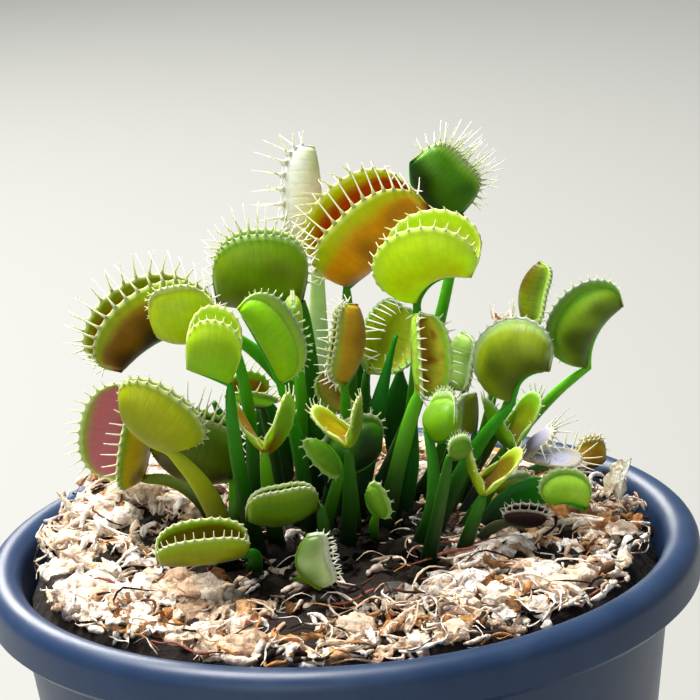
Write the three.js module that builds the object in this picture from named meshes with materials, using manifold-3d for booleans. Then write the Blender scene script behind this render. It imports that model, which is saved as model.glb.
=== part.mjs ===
// A potted Venus flytrap: a round plastic pot, the moss that fills it, and one solid for each leaf,
// which is a flat stalk with its trap of two toothed lobes.
// Millimetres, +Z up, origin in the middle of the pot's underside. The plant's front faces -Y.
import * as THREE from "three";
import { mergeVertices } from "three/addons/utils/BufferGeometryUtils.js";
import Module from "manifold-3d";

const wasm = await Module();
wasm.setup();

// Pot
const POT_HEIGHT = 120;
const POT_WALL = 2.6;
const POT_FLOOR = 3;
const BASE_RADIUS = 58;
const BASE_CHAMFER = 2;
const LIP_INNER_RADIUS = 71;
const LIP_WIDTH = 8;
const LIP_DEPTH = 11;
const LIP_CHAMFER = 1.5;
const LIP_ROLL_STEPS = 6;
const ROUND_SEGMENTS = 36;
const DRAIN_HOLES = 6;
const DRAIN_RADIUS = 5;
const DRAIN_CIRCLE = 36;
const DRAIN_SEGMENTS = 10;

// Moss
const MOSS_CLEARANCE = 0.4;
const MOSS_RINGS = [11, 22, 32, 42, 51, 59, 65];
const MOSS_SEED = 7;
const MOSS_MIDDLE_HEIGHT = 1;
const MOSS_EDGE_HEIGHT = -2;
const MOSS_EDGE_DEPTH = 9;
const HEAP = { x: -45, y: 28, height: 9, spread: 16 };
const CLUMP_HEIGHT = 1.3;
const FLUFF_HEIGHT = 1.2;
const FLUFF_FROM_RADIUS = 40;
const RANDOM_FACTOR = 16807;
const RANDOM_RANGE = 2147483647;

// Leaves
const LOBE_THICKNESS = 0.8;
const LOBE_GAP = 0.8;
const TOOTH_SHARE = 0.4;
const FEW_TEETH = 6;
const COLUMNS_FEW_TEETH = 5;
const COLUMNS_MANY_TEETH = 7;
const ROOT_DEPTH = 11;
const NECK_OVERLAP = 1.2;
const HOLE_CLEARANCE = 0.75;
const STALK_STEPS = 5;
const STALK_THICKNESS = 1.1;

// How far the two lobes of a trap stand apart: the angle of each lobe to the trap's middle plane,
// at the midrib and at the toothed edge.
const GAPES = {
  shut: [58, -57],
  flat: [42, -36],
  ajar: [62, -18],
  vee: [42, 14],
  open: [52, 18],
};

// The outline of the lobes: how far the midrib bows towards the mouth, as a share of its length, and
// the lean of the lobe at the neck and at the tip. Both ends of a lobe have the same share of its
// height, and the higher the roundness, the squarer its shoulders.
const SHAPES = {
  bean: { bow: 0.13, fan: [-14, 52] },
  hooked: { bow: 0.2, fan: [-36, 56] },
  kidney: { bow: 0.02, fan: [-2, 22] },
  dee: { bow: -0.05, fan: [-12, 8] },
  shell: { bow: -0.26, fan: [6, -2] },
  round: { bow: -0.12, fan: [-40, 40] },
};
const END_SHARE = 0.2;
const ROUNDNESS = 2.4;

// How rough the surface of each kind of piece is.
const POT_ROUGHNESS = 0.35;
const MOSS_ROUGHNESS = 0.95;
const LEAF_ROUGHNESS = 0.45;

const COLOURS = {
  pot: 0x1c3550,
  moss: 0xdcc4a0,
  lime: 0x9ccb1e,
  green: 0x6fae22,
  dark: 0x356b14,
  olive: 0x8a8f16,
  orange: 0xb5691a,
  pale: 0xd3e8b4,
  pink: 0xb98a72,
  grey: 0xb9b0c4,
  black: 0x2a1a18,
};

// Each leaf by hand. root: where the stalk leaves the moss, [x, y]. bend: the point that the stalk
// bows towards. neck and tip: the two ends of the trap's midrib. crest: the middle of its mouth.
// teeth: how many on each lobe, and how long. stalk: half widths at the root, half way and neck.
// The blades at the end are flat leaves with a point where the others have their trap.
const LEAVES = [
  { name: "leaf_01", root: [1, 7], bend: [-3, 8, 156], neck: [-24, 5, 169], tip: [-45, -4, 163],
    crest: [-38, 0, 183], shape: "bean", gape: "ajar", teeth: [8, 5], stalk: [2.4, 2.2, 1.2],
    colour: "orange" },
  { name: "leaf_02", root: [-20, -4], bend: [-15, -5, 155], neck: [-22, -10, 175], tip: [-37, -9, 173],
    crest: [-34, -17, 185], shape: "shell", gape: "shut", teeth: [6, 1.4], stalk: [2, 1.4, 1],
    colour: "lime" },
  { name: "leaf_03", root: [-5, 18], bend: [-3, 16, 149], neck: [-5, 16, 170], tip: [-24, 16, 171],
    crest: [-12, 12, 188], shape: "dee", gape: "flat", teeth: [8, 6], stalk: [2.4, 1.8, 1.3],
    colour: "dark" },
  { name: "leaf_04", root: [-18, -14], bend: [-22, -28, 153], neck: [-21, -24, 165],
    tip: [-30, -24, 169], crest: [-24, -25, 182], shape: "kidney", gape: "ajar", teeth: [7, 1],
    stalk: [2.2, 1.6, 1.1], colour: "lime" },
  { name: "leaf_05", root: [-7, 1], bend: [-7, -2, 144], neck: [-11, -4, 158], tip: [-19, -5, 176],
    crest: [-6, -5, 172], shape: "kidney", gape: "shut", teeth: [7, 1.6], stalk: [2, 1.6, 1.1],
    colour: "green" },
  { name: "leaf_06", root: [-9, 6], bend: [-6, 4, 147], neck: [-7, 5, 167], tip: [-7, 5, 173],
    crest: [-7, 11, 170], shape: "round", gape: "shut", teeth: [4, 0.8], stalk: [1.8, 1.4, 1],
    colour: "pale" },
  { name: "leaf_07", root: [-27, 6], bend: [-33, 12, 134], neck: [-44, 14, 132], tip: [-39, 15, 153],
    crest: [-51, 7, 148], shape: "dee", gape: "open", teeth: [7, 4], stalk: [2, 1.6, 1.2],
    colour: "pink" },
  { name: "leaf_08", root: [-25, -14], bend: [-24, -20, 138], neck: [-35, -21, 150],
    tip: [-45, -20, 158], crest: [-35, -23, 165], shape: "round", gape: "flat", teeth: [8, 1.5],
    stalk: [2.6, 2.4, 1.5], colour: "olive" },
  { name: "leaf_09", root: [-24, 0], bend: [-22, -4, 132], neck: [-23, 5, 134], tip: [-41, 5, 142],
    crest: [-28, -1, 151], shape: "shell", gape: "flat", teeth: [6, 4], stalk: [2, 1.6, 1.2],
    colour: "dark" },
  { name: "leaf_10", root: [-14, 22], bend: [-13, 24, 129], neck: [-16, 24, 144], tip: [-24, 17, 149],
    crest: [-21, 15, 154], shape: "dee", gape: "open", teeth: [5, 3], stalk: [1.8, 1.4, 1],
    colour: "green" },
  { name: "leaf_11", root: [-14, -8], bend: [-15, -21, 138], neck: [-15, -21, 148],
    tip: [-14, -16, 146], crest: [-16, -18, 160], shape: "hooked", gape: "vee", teeth: [5, 2],
    stalk: [2, 1.6, 1.2], colour: "olive" },
  { name: "leaf_12", root: [3, 22], bend: [4, 26, 145], neck: [5, 30, 169], tip: [25, 29, 186],
    crest: [8, 23, 194], shape: "dee", gape: "ajar", teeth: [9, 6], stalk: [2.4, 1.8, 1.3],
    colour: "orange" },
  { name: "leaf_13", root: [9, 26], bend: [22, 33, 140], neck: [32, 40, 181], tip: [21, 41, 194],
    crest: [31, 40, 197], shape: "shell", gape: "flat", teeth: [8, 6], stalk: [2.2, 1.6, 1.1],
    colour: "dark" },
  { name: "leaf_14", root: [-6, 28], bend: [-3, 37, 141], neck: [-1, 40, 177], tip: [0, 46, 198],
    crest: [-8, 39, 190], shape: "dee", gape: "flat", teeth: [6, 6], stalk: [2.6, 3, 1.4],
    colour: "pale" },
  { name: "leaf_15", root: [11, 9], bend: [20, 6, 149], neck: [20, 5, 171], tip: [32, -1, 178],
    crest: [16, 3, 189], shape: "hooked", gape: "ajar", teeth: [8, 1.7], stalk: [2.2, 1.6, 1.2],
    colour: "lime" },
  { name: "leaf_16", root: [-1, 4], bend: [3, 4, 137], neck: [3, 1, 155], tip: [7, 6, 172],
    crest: [1, -2, 165], shape: "shell", gape: "flat", teeth: [6, 4], stalk: [2, 1.5, 1.1],
    colour: "orange" },
  { name: "leaf_17", root: [6, 16], bend: [5, 18, 129], neck: [8, 17, 152], tip: [17, 25, 165],
    crest: [14, 14, 161], shape: "shell", gape: "open", teeth: [6, 4], stalk: [2.2, 1.6, 1.2],
    colour: "green" },
  { name: "leaf_18", root: [9, -3], bend: [15, -2, 143], neck: [19, -2, 153], tip: [19, -1, 171],
    crest: [23, -7, 162], shape: "dee", gape: "open", teeth: [6, 2.5], stalk: [2.2, 1.8, 1.4],
    colour: "lime" },
  { name: "leaf_19", root: [17, 19], bend: [25, 20, 130], neck: [27, 18, 147], tip: [30, 19, 160],
    crest: [32, 14, 155], shape: "shell", gape: "shut", teeth: [5, 1.2], stalk: [1.6, 1.2, 0.9],
    colour: "green" },
  { name: "leaf_20", root: [20, -6], bend: [28, -11, 142], neck: [39, -10, 152], tip: [47, -15, 160],
    crest: [40, -11, 174], shape: "hooked", gape: "shut", teeth: [7, 0.7], stalk: [2.2, 1.7, 1.1],
    colour: "olive" },
  { name: "leaf_21", root: [24, 19], bend: [42, 18, 139], neck: [44, 17, 161], tip: [48, 19, 175],
    crest: [49, 14, 169], shape: "shell", gape: "shut", teeth: [6, 0.9], stalk: [1.8, 1.3, 1],
    colour: "olive" },
  { name: "leaf_22", root: [27, 6], bend: [44, 8, 146], neck: [57, 8, 153], tip: [65, 3, 168],
    crest: [49, 4, 168], shape: "bean", gape: "shut", teeth: [8, 1.3], stalk: [1.8, 1.3, 1],
    colour: "green" },
  { name: "leaf_23", root: [16, -13], bend: [23, -19, 134], neck: [20, -15, 149], tip: [26, -24, 152],
    crest: [25, -18, 158], shape: "shell", gape: "shut", teeth: [6, 1.2], stalk: [2, 1.5, 1.1],
    colour: "green" },
  { name: "leaf_24", root: [18, -22], bend: [22, -28, 137], neck: [24, -31, 148], tip: [29, -30, 149],
    crest: [24, -32, 152], shape: "shell", gape: "shut", teeth: [6, 1], stalk: [1.8, 1.4, 1],
    colour: "green" },
  { name: "leaf_25", root: [22, 4], bend: [31, 6, 132], neck: [31, 8, 140], tip: [32, 8, 149],
    crest: [27, 5, 147], shape: "dee", gape: "shut", teeth: [4, 1.2], stalk: [1.6, 1.2, 0.9],
    colour: "olive" },
  { name: "leaf_26", root: [26, -3], bend: [36, -2, 133], neck: [39, -4, 139], tip: [36, 1, 140],
    crest: [39, -2, 151], shape: "dee", gape: "vee", teeth: [6, 1.8], stalk: [1.8, 1.4, 1],
    colour: "green" },
  { name: "leaf_27", root: [31, 18], bend: [37, 20, 128], neck: [41, 16, 130], tip: [42, 18, 132],
    crest: [53, 14, 136], shape: "kidney", gape: "vee", teeth: [6, 5], stalk: [1.8, 1.4, 1.1],
    colour: "grey" },
  { name: "leaf_28", root: [36, 26], bend: [51, 32, 125], neck: [54, 36, 121], tip: [62, 37, 121],
    crest: [59, 33, 128], shape: "shell", gape: "flat", teeth: [5, 1.5], stalk: [1.6, 1.2, 0.9],
    colour: "orange" },
  { name: "leaf_29", root: [30, -5], bend: [42, -6, 137], neck: [54, -6, 125], tip: [46, -8, 127],
    crest: [50, -6, 135], shape: "bean", gape: "shut", teeth: [6, 0.8], stalk: [2, 3.4, 1.2],
    colour: "lime" },
  { name: "leaf_30", root: [30, -13], bend: [32, -14, 126], neck: [37, -14, 126], tip: [44, -16, 126],
    crest: [41, -16, 130], shape: "round", gape: "ajar", teeth: [6, 1.5], stalk: [1.6, 1.3, 1],
    colour: "black" },
  { name: "leaf_31", root: [26, -17], bend: [29, -22, 131], neck: [31, -22, 135], tip: [30, -16, 136],
    crest: [34, -20, 146], shape: "dee", gape: "vee", teeth: [5, 1.2], stalk: [1.8, 1.5, 1.1],
    colour: "olive" },
  { name: "leaf_32", root: [31, 2], bend: [33, 1, 124], neck: [36, 1, 127], tip: [42, 1, 129],
    crest: [39, 1, 132], shape: "round", gape: "shut", teeth: [4, 0.8], stalk: [1.5, 1.2, 0.9],
    colour: "olive" },
  { name: "leaf_33", root: [1, -13], bend: [3, -18, 137], neck: [3, -22, 148], tip: [5, -17, 149],
    crest: [1, -20, 158], shape: "dee", gape: "vee", teeth: [5, 1.5], stalk: [2, 1.6, 1.1],
    colour: "orange" },
  { name: "leaf_34", root: [-5, -9], bend: [-1, -12, 134], neck: [1, -13, 141], tip: [-4, -13, 148],
    crest: [-5, -13, 143], shape: "round", gape: "shut", teeth: [4, 1], stalk: [1.7, 1.4, 1],
    colour: "green" },
  { name: "leaf_35", root: [3, -4], bend: [3, -5, 131], neck: [3, -5, 137], tip: [10, -4, 141],
    crest: [6, -5, 151], shape: "round", gape: "shut", teeth: [7, 1.5], stalk: [2, 1.5, 1.1],
    colour: "dark" },
  { name: "leaf_36", root: [-4, -18], bend: [-3, -26, 132], neck: [-4, -25, 137], tip: [-20, -28, 136],
    crest: [-8, -31, 144], shape: "shell", gape: "flat", teeth: [6, 0.9], stalk: [1.8, 1.4, 1],
    colour: "olive" },
  { name: "leaf_37", root: [-20, -21], bend: [-17, -30, 130], neck: [-20, -33, 130],
    tip: [-39, -35, 130], crest: [-29, -38, 138], shape: "dee", gape: "ajar", teeth: [8, 1.5],
    stalk: [2, 1.6, 1.1], colour: "green" },
  { name: "leaf_38", root: [-11, -28], bend: [-9, -37, 127], neck: [-5, -40, 124], tip: [-7, -43, 137],
    crest: [-3, -42, 134], shape: "shell", gape: "shut", teeth: [6, 1.6], stalk: [1.8, 1.4, 1],
    colour: "pale" },
  { name: "leaf_39", root: [-3, 12], bend: [0, 12, 137], neck: [4, 11, 148], tip: [-1, 9, 157],
    crest: [-1, 5, 153], shape: "dee", gape: "vee", teeth: [5, 1.2], stalk: [1.7, 1.3, 1],
    colour: "pink" },
  { name: "leaf_40", root: [7, -8], bend: [7, -13, 128], neck: [8, -15, 130], tip: [6, -15, 136],
    crest: [10, -15, 136], shape: "round", gape: "shut", teeth: [4, 0.8], stalk: [1.4, 1.1, 0.8],
    colour: "green" },
  { name: "leaf_41", root: [26, 11], bend: [35, 12, 140], neck: [39, 14, 160], tip: [39, 19, 161],
    crest: [39, 15, 164], shape: "dee", gape: "vee", teeth: [4, 2.5], stalk: [1.5, 1.1, 0.8],
    colour: "pink" },
  { name: "blade_01", root: [3, 1], bend: [8, 3, 144], neck: [15, 3, 165], stalk: [2, 2.2, 0.5],
    colour: "dark" },
  { name: "blade_02", root: [13, 3], bend: [17, 2, 133], neck: [18, 2, 149], stalk: [2, 1.8, 0.6],
    colour: "dark" },
  { name: "blade_03", root: [-12, 32], bend: [-14, 33, 135], neck: [-17, 34, 147],
    stalk: [2.4, 4, 0.6], colour: "dark" },
  { name: "blade_04", root: [4, 34], bend: [5, 35, 138], neck: [7, 36, 150], stalk: [2.4, 4, 0.6],
    colour: "dark" },
  { name: "blade_05", root: [14, 37], bend: [15, 39, 136], neck: [16, 40, 147], stalk: [2.4, 4, 0.6],
    colour: "dark" },
  { name: "blade_06", root: [-21, 27], bend: [-23, 29, 134], neck: [-27, 30, 144],
    stalk: [2.2, 3.4, 0.6], colour: "dark" },
  { name: "blade_07", root: [24, 31], bend: [27, 32, 133], neck: [31, 33, 143],
    stalk: [2.2, 3.6, 0.6], colour: "dark" },
];

const radians = THREE.MathUtils.degToRad;
const lerp = THREE.MathUtils.lerp;
const vector = (list) => new THREE.Vector3(...list);

// A surface put together from rows of points, read out as a solid.
class Skin {
  constructor() {
    this.points = [];
    this.faces = [];
  }

  row(points) {
    const first = this.points.length;
    this.points.push(...points);
    return points.map((point, k) => first + k);
  }

  // Joins two rows end to end, whatever the number of points in each. Reversed, the same triangles
  // face the other way.
  strip(a, b, reversed = false) {
    const add = (p, q, r) => this.faces.push(reversed ? [p, r, q] : [p, q, r]);
    let i = 0;
    let j = 0;
    while (i < a.length - 1 || j < b.length - 1) {
      const nextA = (i + 1) / (a.length - 1);
      const nextB = (j + 1) / (b.length - 1);
      if (j === b.length - 1 || (i < a.length - 1 && nextA <= nextB)) {
        add(a[i], a[i + 1], b[j]);
        i += 1;
      } else {
        add(a[i], b[j + 1], b[j]);
        j += 1;
      }
    }
  }

  quad(a, b, c, d) {
    this.faces.push([a, b, c], [a, c, d]);
  }

  fan(loop) {
    for (let k = 1; k < loop.length - 1; k += 1) this.faces.push([loop[0], loop[k], loop[k + 1]]);
  }

  volume() {
    const at = (k) => this.points[k];
    return this.faces.reduce((sum, [a, b, c]) => sum + at(a).dot(at(b).clone().cross(at(c))) / 6, 0);
  }

  solid() {
    if (this.volume() < 0) this.faces = this.faces.map(([a, b, c]) => [a, c, b]);
    return new wasm.Manifold(new wasm.Mesh({
      numProp: 3,
      vertProperties: new Float32Array(this.points.flatMap((point) => point.toArray())),
      triVerts: new Uint32Array(this.faces.flat()),
    }));
  }
}

function solidOf(source) {
  source.deleteAttribute("normal");
  source.deleteAttribute("uv");
  const merged = mergeVertices(source);
  return new wasm.Manifold(new wasm.Mesh({
    numProp: 3,
    vertProperties: new Float32Array(merged.attributes.position.array),
    triVerts: new Uint32Array(merged.index.array),
  }));
}

function geometryOf(solid) {
  const mesh = solid.getMesh();
  const geometry = new THREE.BufferGeometry();
  geometry.setAttribute("position", new THREE.BufferAttribute(mesh.vertProperties, 3));
  geometry.setIndex(new THREE.BufferAttribute(mesh.triVerts, 1));
  geometry.computeVertexNormals();
  return geometry;
}

// The axes of one trap: x along the chord of the midrib, z towards the mouth, y across the lobes.
function trapFrame(leaf) {
  const neck = vector(leaf.neck);
  const x = vector(leaf.tip).sub(neck);
  const length = x.length();
  x.normalize();
  const z = vector(leaf.crest).sub(neck);
  z.addScaledVector(x, -z.dot(x));
  const height = z.length();
  z.normalize();
  return { origin: neck, x, y: z.clone().cross(x), z, length, height };
}

// The two lobes of a trap with the midrib between them, as one thin folded blade. The midrib bows
// towards the mouth, each lobe spreads from it like a fan, and its edge carries the teeth.
function trapSolid(leaf) {
  const frame = trapFrame(leaf);
  const [teeth, toothLength] = leaf.teeth;
  const [rise, fall] = GAPES[leaf.gape].map(radians);
  const shape = SHAPES[leaf.shape];
  const sag = shape.bow * frame.length;
  const turn = rise - fall;
  const reach = (frame.height - sag) * turn / (Math.sin(rise) - Math.sin(fall));
  const columns = teeth > FEW_TEETH ? COLUMNS_MANY_TEETH : COLUMNS_FEW_TEETH;

  const place = (along, across, up) => frame.origin.clone()
    .addScaledVector(frame.x, along)
    .addScaledVector(frame.y, across)
    .addScaledVector(frame.z, up);

  // A point of one lobe: s along the midrib, t from the midrib to the edge, depth into the blade.
  const lobePoint = (side, s, t, depth, beyond = 0) => {
    const fanAngle = radians(lerp(...shape.fan, s));
    const bulge = 1 - Math.abs(2 * s - 1) ** ROUNDNESS;
    const size = reach * lerp(END_SHARE, 1, Math.sqrt(bulge));
    const slope = rise - turn * t;
    const out = size * (Math.sin(rise) - Math.sin(slope)) / turn
      + depth * Math.sin(slope) + beyond * Math.cos(slope);
    const across = LOBE_GAP / 2 + LOBE_THICKNESS + size * (Math.cos(slope) - Math.cos(rise)) / turn
      - depth * Math.cos(slope) + beyond * Math.sin(slope);
    return place(
      frame.length * s + out * Math.sin(fanAngle),
      side * across,
      sag * 4 * s * (1 - s) + out * Math.cos(fanAngle),
    );
  };

  // Stations stand closer together at the two ends, where the outline turns.
  const station = (share) => (1 - Math.cos(Math.PI * share)) / 2;
  const even = Array.from({ length: columns }, (unused, k) => station(k / (columns - 1)));
  const edge = [0];
  for (let k = 0; k < teeth; k += 1) {
    edge.push(station((k + TOOTH_SHARE) / teeth), station((k + 1) / teeth));
  }

  const skin = new Skin();
  const rowOf = (side, t, depth) => {
    const stations = t === 1 ? edge : even;
    return skin.row(stations.map((s) => lobePoint(side, s, t, depth)));
  };
  const section = [[1, 1], [1, 0.5], [1, 0], [-1, 0], [-1, 0.5], [-1, 1]];
  const outer = section.map(([side, t]) => rowOf(side, t, 0));
  const inner = section.map(([side, t]) => rowOf(side, t, LOBE_THICKNESS));
  for (let k = 0; k < section.length - 1; k += 1) {
    skin.strip(outer[k], outer[k + 1]);
    skin.strip(inner[k], inner[k + 1], true);
    const [a, b, c, d] = [outer[k], outer[k + 1], inner[k + 1], inner[k]];
    skin.quad(a[0], b[0], c[0], d[0]);
    skin.quad(d.at(-1), c.at(-1), b.at(-1), a.at(-1));
  }

  for (const [side, out, back] of [[1, outer[0], inner[0]], [-1, inner.at(-1), outer.at(-1)]]) {
    for (let k = 0; k < edge.length - 1; k += 1) {
      const ring = [out[k + 1], out[k], back[k], back[k + 1]];
      if (k % 2 === 1) {
        skin.quad(...ring);
        continue;
      }
      const s = (edge[k] + edge[k + 1]) / 2;
      const [apex] = skin.row([lobePoint(side, s, 1, LOBE_THICKNESS / 2, toothLength)]);
      ring.forEach((corner, n) => skin.faces.push([corner, ring[(n + 1) % 4], apex]));
    }
  }
  return skin.solid();
}

// The flat stalk, four-sided across: from its root in the moss it bows over to the neck and ends
// inside the midrib. With swell it is only the root, wider all round: the hole that it stands in.
function stalkSolid(leaf, swell = 0) {
  const [rootX, rootY] = leaf.root;
  const surface = mossHeight(rootX, rootY);
  const start = new THREE.Vector3(rootX, rootY, surface);
  const neck = vector(leaf.neck);
  const bow = new THREE.QuadraticBezierCurve3(start, vector(leaf.bend), neck);
  const path = bow.getPoints(STALK_STEPS);
  path[0].z -= ROOT_DEPTH + swell;
  if (leaf.tip) path.push(neck.clone().addScaledVector(trapFrame(leaf).x, NECK_OVERLAP));

  const skin = new Skin();
  const rings = path.map((point, k) => {
    const share = Math.min(k / STALK_STEPS, 1);
    const [root, middle, end] = leaf.stalk;
    const half = (share < 0.5 ? lerp(root, middle, 2 * share) : lerp(middle, end, 2 * share - 1)) + swell;
    const thick = lerp(STALK_THICKNESS, LOBE_THICKNESS, share) + swell;
    const before = path[Math.max(k - 1, 0)];
    const after = path[Math.min(k + 1, path.length - 1)];
    const heading = after.clone().sub(before).normalize();
    const wide = heading.clone().cross(new THREE.Vector3(0, -1, 0)).normalize();
    const deep = heading.clone().cross(wide);
    const corners = [[half, 0], [0, thick], [-half, 0], [0, -thick]];
    return skin.row(corners.map(([a, b]) => point.clone()
      .addScaledVector(wide, a)
      .addScaledVector(deep, b)));
  });
  if (swell) rings.length = 2;
  for (let k = 0; k < rings.length - 1; k += 1) {
    skin.strip([...rings[k], rings[k][0]], [...rings[k + 1], rings[k + 1][0]]);
  }
  skin.fan([...rings[0]].reverse());
  skin.fan(rings.at(-1));
  return skin.solid();
}

// The height of the moss: a low mound, higher behind on the left, with clumps of fibre on it.
function mossHeight(x, y) {
  const share = Math.min(Math.hypot(x, y) / MOSS_RINGS.at(-1), 1);
  const mound = lerp(MOSS_EDGE_HEIGHT, MOSS_MIDDLE_HEIGHT, Math.cos(share * Math.PI / 2));
  const heap = HEAP.height * Math.exp(-((x - HEAP.x) ** 2 + (y - HEAP.y) ** 2) / (2 * HEAP.spread ** 2));
  const clumps = Math.sin(x * 0.31 + 1.7 * Math.sin(y * 0.17)) * Math.cos(y * 0.27 - x * 0.11);
  return POT_HEIGHT + mound + heap + CLUMP_HEIGHT * clumps * Math.min(2 * share, 1);
}

// The moss as one body down to the floor of the pot, roughened by small seeded random steps, with
// the holes that the stalks stand in.
function mossSolid(stalkHoles) {
  let state = MOSS_SEED;
  const random = () => {
    state = (state * RANDOM_FACTOR) % RANDOM_RANGE;
    return state / RANDOM_RANGE;
  };
  const skin = new Skin();
  const ringAt = (radius, heightOf) => {
    const points = Array.from({ length: ROUND_SEGMENTS }, (unused, k) => {
      const angle = (k / ROUND_SEGMENTS) * 2 * Math.PI;
      const x = radius * Math.cos(angle);
      const y = radius * Math.sin(angle);
      return new THREE.Vector3(x, y, heightOf(x, y));
    });
    const row = skin.row(points);
    return [...row, row[0]];
  };
  const [middle] = skin.row([new THREE.Vector3(0, 0, mossHeight(0, 0))]);
  const fluff = (x, y) => mossHeight(x, y)
    + FLUFF_HEIGHT * (2 * random() - 1) * Math.min(Math.hypot(x, y) / FLUFF_FROM_RADIUS, 1);
  const rings = MOSS_RINGS.map((radius) => ringAt(radius, fluff));
  const wallRadius = (z) => potInnerRadius(z) - MOSS_CLEARANCE;
  const edgeZ = POT_HEIGHT - MOSS_EDGE_DEPTH;
  rings.push(ringAt(wallRadius(edgeZ), () => edgeZ));
  const bottom = POT_FLOOR + MOSS_CLEARANCE;
  rings.push(ringAt(wallRadius(bottom), () => bottom));
  for (let k = 0; k < ROUND_SEGMENTS; k += 1) skin.faces.push([middle, rings[0][k], rings[0][k + 1]]);
  for (let k = 0; k < rings.length - 1; k += 1) skin.strip(rings[k + 1], rings[k]);
  skin.fan(rings.at(-1).slice(0, -1).reverse());
  return stalkHoles.reduce((body, hole) => body.subtract(hole), skin.solid());
}

function potInnerRadius(z) {
  return lerp(BASE_RADIUS - POT_WALL, LIP_INNER_RADIUS, z / POT_HEIGHT);
}

// A tapered wall turned round the axis, with a rolled lip, and drain holes through its floor.
function potSolid() {
  const lipMiddle = LIP_INNER_RADIUS + LIP_WIDTH / 2;
  const roll = LIP_WIDTH / 2;
  const skirt = POT_HEIGHT - LIP_DEPTH;
  const profile = [
    [0, 0],
    [BASE_RADIUS - BASE_CHAMFER, 0],
    [BASE_RADIUS, BASE_CHAMFER],
    [potInnerRadius(skirt) + POT_WALL, skirt],
    [LIP_INNER_RADIUS + LIP_WIDTH - LIP_CHAMFER, skirt],
    [LIP_INNER_RADIUS + LIP_WIDTH, skirt + LIP_CHAMFER],
  ];
  for (let k = 0; k <= LIP_ROLL_STEPS; k += 1) {
    const angle = (k / LIP_ROLL_STEPS) * Math.PI;
    profile.push([lipMiddle + roll * Math.cos(angle), POT_HEIGHT - roll + roll * Math.sin(angle)]);
  }
  profile.push([potInnerRadius(skirt), skirt], [potInnerRadius(POT_FLOOR), POT_FLOOR], [0, POT_FLOOR]);

  const skin = new Skin();
  const rings = profile.slice(1, -1).map(([radius, z]) => {
    const row = skin.row(Array.from({ length: ROUND_SEGMENTS }, (unused, k) => {
      const angle = (k / ROUND_SEGMENTS) * 2 * Math.PI;
      return new THREE.Vector3(radius * Math.cos(angle), radius * Math.sin(angle), z);
    }));
    return [...row, row[0]];
  });
  for (let k = 0; k < rings.length - 1; k += 1) skin.strip(rings[k], rings[k + 1]);
  skin.fan(rings[0].slice(0, -1).reverse());
  skin.fan(rings.at(-1).slice(0, -1));
  let body = skin.solid();
  for (let k = 0; k < DRAIN_HOLES; k += 1) {
    const angle = (k / DRAIN_HOLES) * 2 * Math.PI;
    const plug = new THREE.CylinderGeometry(DRAIN_RADIUS, DRAIN_RADIUS, 3 * POT_FLOOR, DRAIN_SEGMENTS);
    plug.rotateX(Math.PI / 2);
    plug.translate(DRAIN_CIRCLE * Math.cos(angle), DRAIN_CIRCLE * Math.sin(angle), POT_FLOOR / 2);
    body = body.subtract(solidOf(plug));
  }
  return body;
}

const plant = new THREE.Group();

function addPiece(name, solid, colour, roughness) {
  const material = new THREE.MeshStandardMaterial({ color: COLOURS[colour], roughness, metalness: 0 });
  const mesh = new THREE.Mesh(geometryOf(solid), material);
  mesh.name = name;
  plant.add(mesh);
}

const holes = LEAVES.map((leaf) => stalkSolid(leaf, HOLE_CLEARANCE));
addPiece("pot", potSolid(), "pot", POT_ROUGHNESS);
addPiece("moss", mossSolid(holes), "moss", MOSS_ROUGHNESS);
for (const leaf of LEAVES) {
  const stalk = stalkSolid(leaf);
  addPiece(leaf.name, leaf.tip ? stalk.add(trapSolid(leaf)) : stalk, leaf.colour, LEAF_ROUGHNESS);
}

export default plant;
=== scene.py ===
# %% [markdown]
# # A potted Venus flytrap
# The plant is a clump of some forty leaves. Each leaf is a flat stalk that ends in a trap: two lobes
# hinged on a midrib, with teeth along their edges. It grows in pale long-fibred moss, in a dark
# blue plastic pot. The frame brings the solid of every piece, in metres, with the origin in the
# middle of the pot's underside. The solids are coarse, so each one is dressed with a finer mesh
# that keeps its form.

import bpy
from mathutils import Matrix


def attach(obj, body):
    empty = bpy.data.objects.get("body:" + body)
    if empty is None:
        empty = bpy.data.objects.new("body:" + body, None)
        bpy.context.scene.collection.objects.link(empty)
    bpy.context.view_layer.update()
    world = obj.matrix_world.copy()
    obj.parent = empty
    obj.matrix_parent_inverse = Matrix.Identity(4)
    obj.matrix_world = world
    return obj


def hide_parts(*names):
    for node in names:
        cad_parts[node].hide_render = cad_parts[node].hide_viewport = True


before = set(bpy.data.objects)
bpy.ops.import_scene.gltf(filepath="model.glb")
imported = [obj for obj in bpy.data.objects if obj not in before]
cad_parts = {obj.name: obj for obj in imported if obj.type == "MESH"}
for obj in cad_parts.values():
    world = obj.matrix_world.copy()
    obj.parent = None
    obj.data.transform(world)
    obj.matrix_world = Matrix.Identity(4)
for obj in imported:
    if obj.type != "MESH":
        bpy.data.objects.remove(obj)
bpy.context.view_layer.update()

# %% What the script uses of Blender
import math
import random

import bmesh
import bpy
from mathutils import Euler, Matrix, Vector, noise

MM = 0.001

# %% [markdown]
# ## Camera
# The photograph was taken from a little above the pot's rim, from the front. A long lens stands in
# for the close-up: it keeps the rim's ellipse as flat as it is in the photograph. The camera looks
# along +Y, tilted down, and it is rolled a few degrees, because the rim isn't level in the picture.
# The plain view transform keeps the greens as strong as they were picked.

# %% Camera
CAMERA_PLACE = Vector((4.74, -751.68, 396.92)) * MM
CAMERA_DOWN = math.radians(17.26)
CAMERA_ROLL = math.radians(3.97)
SENSOR_WIDTH = 36
LENS = 185.8

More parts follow.
